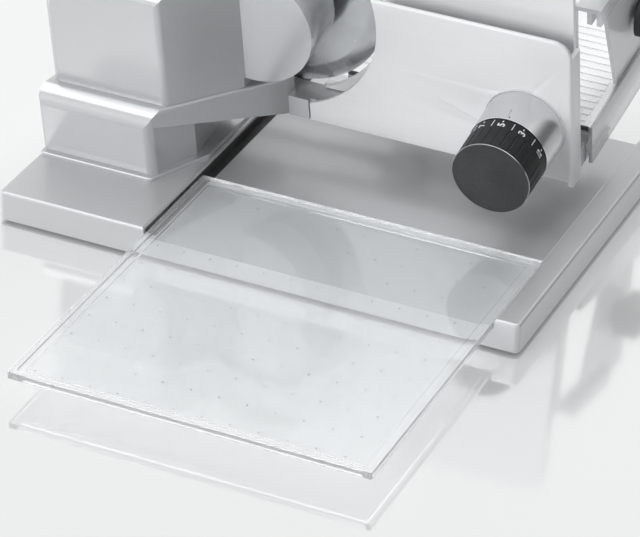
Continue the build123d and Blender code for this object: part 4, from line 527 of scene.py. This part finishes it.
def figureMesh(body, setup):
    # a text's own mesh as points (right, up, out), each from -1/2 to 1/2
    data = bpy.data.curves.new("figure", "FONT")
    data.body = body
    data.align_x, data.align_y = "CENTER", "CENTER"
    data.extrude = setup["extrude"]
    data.offset = setup["stroke"]
    data.resolution_u = setup["curveSteps"]
    text = bpy.data.objects.new("figure", data)
    bpy.context.scene.collection.objects.link(text)
    bpy.context.view_layer.update()
    mesh = bpy.data.meshes.new_from_object(text.evaluated_get(bpy.context.evaluated_depsgraph_get()))
    flat = np.empty(len(mesh.vertices) * 3)
    mesh.vertices.foreach_get("co", flat)
    flat = flat.reshape(-1, 3)
    faces = [tuple(face.vertices) for face in mesh.polygons]
    bpy.data.objects.remove(text)
    low, high = flat.min(0), flat.max(0)
    return (flat - (low + high) / 2) / (high - low), faces


def ridingPiece(name, points, faces, finish, body, slot, smooth=False):
    piece = meshObject(name, points, faces, smooth)
    piece.data.materials.append(finishes[finish])
    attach(piece, body)


def turnedRing(profile, setup, turns=96):
    # a closed profile of (radius, away) turned about the knob's axis: grid of angle by profile point
    angle = np.linspace(0, 2 * math.pi, turns, endpoint=False)[:, None]
    radius, away = (np.array(values)[None, :] for values in zip(*profile))
    across = setup["axis"][0] + radius * np.sin(angle)
    up = setup["axis"][1] + radius * np.cos(angle)
    count = len(profile)
    faces = [(i * count + j, i * count + (j + 1) % count, (i + 1) % turns * count + (j + 1) % count,
              (i + 1) % turns * count + j) for i in range(turns) for j in range(count)]
    return leaned(across, away, up), faces


def makeDial(setup):
    bars = [(degrees, setup["dotEnds"], setup["dotWidth"]) for _, degrees in setup["figures"]]
    bars += [(degrees, setup["tickEnds"], setup["tickWidth"]) for degrees in setup["ticks"]]
    points, faces = bandBars(bars, setup)
    for body, degrees in setup["figures"]:
        flat, figureFaces = figureMesh(body, setup)
        wider, taller = setup["longStretch"] if len(body) > 1 else (1.0, 1.0)
        # a figure stands on its side: its right runs away along the knob, its top back round the band
        angle = math.radians(degrees) - flat[:, 1] * setup["height"] * taller / setup["radius"]
        away = setup["middle"] + flat[:, 0] * setup["width"] * wider
        lift = setup["proud"] + flat[:, 2] * setup["thick"] * 2
        faces += [tuple(index + len(points) for index in face) for face in figureFaces]
        points = np.vstack([points, onBand(angle, away, lift, setup)])
    ridingPiece("dial_figures", points, faces, "figureWhite", "knob", "white_table")


makeDial(dialFigures)
print("dial figures made")

# Bright rings and the index line of the collar
collarTrim = {"axis": (345.4, 41.6), "ringRadius": 30.34, "ringEnds": (70.0, 70.95), "ringWall": 0.3,
              "ringBevel": 0.12, "footRadius": 31.64, "footEnds": (102.15, 103.6), "radius": 30.2,
              "proud": -0.2, "thick": 0.08, "indexDegrees": 1.52, "indexEnds": (72.1, 81.4),
              "indexWidth": 0.66}


def makeCollarTrim(setup):
    for name, radius, (near, far) in (("collar_front_ring", setup["ringRadius"], setup["ringEnds"]),
                                      ("collar_foot_ring", setup["footRadius"], setup["footEnds"])):
        inner, bevel = radius - setup["ringWall"], setup["ringBevel"]
        profile = [(inner, near), (inner, far), (radius - bevel, far), (radius, far - bevel),
                   (radius, near + bevel), (radius - bevel, near)]
        ridingPiece(name, *turnedRing(profile, setup), "trimChrome", "frame", "satin_collar")
    points, faces = bandBars([(setup["indexDegrees"], setup["indexEnds"], setup["indexWidth"])], setup)
    ridingPiece("index_line", points, faces, "mouldedBlack", "frame", "black_plastic")


makeCollarTrim(collarTrim)
print("collar trim made")

# Low domes on the tray's floor
trayDimples = {"pitch": (21.0, 26.0), "radius": 0.7, "height": 0.02, "margin": 14.0, "sides": 8, "floor": 2.0,
               "ringSlopes": (0.0, 0.6)}


def makeDimples(setup):
    # each dome has a ring per slope t, of radius r cos(t) and height h sin(t), and a point at its top
    low, high = (np.array(corner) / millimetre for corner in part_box("serving_tray"))
    spots = [np.arange(low[k] + setup["margin"], high[k] - setup["margin"], setup["pitch"][k])
             for k in (0, 1)]
    across, along = (grid.reshape(-1, 1) for grid in np.meshgrid(*spots))
    sides = setup["sides"]
    slope = np.repeat(setup["ringSlopes"], sides)
    turn = np.tile(np.linspace(0, 2 * math.pi, sides, endpoint=False), len(setup["ringSlopes"]))
    reach = setup["radius"] * np.cos(slope)
    x = np.hstack([across + reach * np.cos(turn), across])
    y = np.hstack([along + reach * np.sin(turn), along])
    z = low[2] + setup["floor"] + setup["height"] * np.append(np.sin(slope), 1.0)
    points = np.stack([x, y, np.broadcast_to(z, x.shape)], axis=-1) * millimetre
    one = [(k, (k + 1) % sides, (k + 1) % sides + sides, k + sides) for k in range(sides)]
    one += [(k + sides, (k + 1) % sides + sides, sides * 2) for k in range(sides)]
    one.append(tuple(range(sides))[::-1])
    faces = [tuple(i + n * len(z) for i in face) for n in range(len(across)) for face in one]
    ridingPiece("tray_dimples", points, faces, "clearPlastic", "tray", "clear_tray", smooth=True)


makeDimples(trayDimples)
print("tray dimples made")

# Painted shade and a light lip along the carriage's front edge: a black strip over the white plate's front
# face stands in for the shade that lies there
carriageTrim = {"across": (190.6, 381.6), "shadeStripAway": (133.9, 135.3), "shadeStripUp": (24.2, 27.6),
                "lipAway": (133.9, 134.8), "lipUp": (22.6, 23.8)}


def leanedBlock(across, away, up):
    # the eight corners of a block in the leaning unit's axes
    grid = np.array([(x, a, n) for n in up for a in away for x in across], dtype=float)
    faces = [(0, 2, 3, 1), (4, 5, 7, 6), (0, 1, 5, 4), (2, 6, 7, 3), (0, 4, 6, 2), (1, 3, 7, 5)]
    return leaned(grid[:, 0], grid[:, 1], grid[:, 2]), faces


def makeCarriageTrim(setup):
    # painted shade: this black strip is no part of the slicer, it darkens the white plate's front face where
    # shade falls
    ridingPiece("carriage_painted_shade_strip", *leanedBlock(setup["across"], setup["shadeStripAway"], setup["shadeStripUp"]),
                "mouldedBlack", "carriage", "black_plastic")
    ridingPiece("carriage_front_lip", *leanedBlock(setup["across"], setup["lipAway"], setup["lipUp"]),
                "trimChrome", "carriage", "bright_trim")


makeCarriageTrim(carriageTrim)
print("carriage trim made")

# Softly rounded edges on the sheet and on the carriage's frame
softEdges = {"fence_carrier": {"width": 0.0007, "body": "frame", "slot": "light_wall",
                               "finish": "brightSheet"},
             "carriage_frame": {"width": 0.0008, "body": "carriage", "slot": "silver_casting",
                                "finish": "silverLacquer"}}
softShared = {"mergeDistance": 0.000002, "flatDegrees": 0.5, "sharpDegrees": 40, "segments": 2}


def softenNode(name, setup, shared):
    # the node's own mesh with doubles merged and flat faces joined, then a bevel along each sharp edge
    mesh = nodes[name].data.copy()
    shell = bmesh.new()
    shell.from_mesh(mesh)
    bmesh.ops.remove_doubles(shell, verts=shell.verts, dist=shared["mergeDistance"])
    bmesh.ops.dissolve_limit(shell, angle_limit=math.radians(shared["flatDegrees"]), verts=shell.verts,
                             edges=shell.edges)
    shell.to_mesh(mesh)
    shell.free()
    mesh.materials.clear()
    mesh.materials.append(finishes[setup["finish"]])
    mesh.polygons.foreach_set("use_smooth", [True] * len(mesh.polygons))
    piece = bpy.data.objects.new(name + "_soft", mesh)
    bpy.context.scene.collection.objects.link(piece)
    bevel = piece.modifiers.new("softEdge", "BEVEL")
    bevel.width = setup["width"]
    bevel.segments = shared["segments"]
    bevel.limit_method = "ANGLE"
    bevel.angle_limit = math.radians(shared["sharpDegrees"])
    bevel.harden_normals = True
    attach(piece, setup["body"])
    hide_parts(name)


for name, setup in softEdges.items():
    softenNode(name, setup, softShared)
print("edges softened")
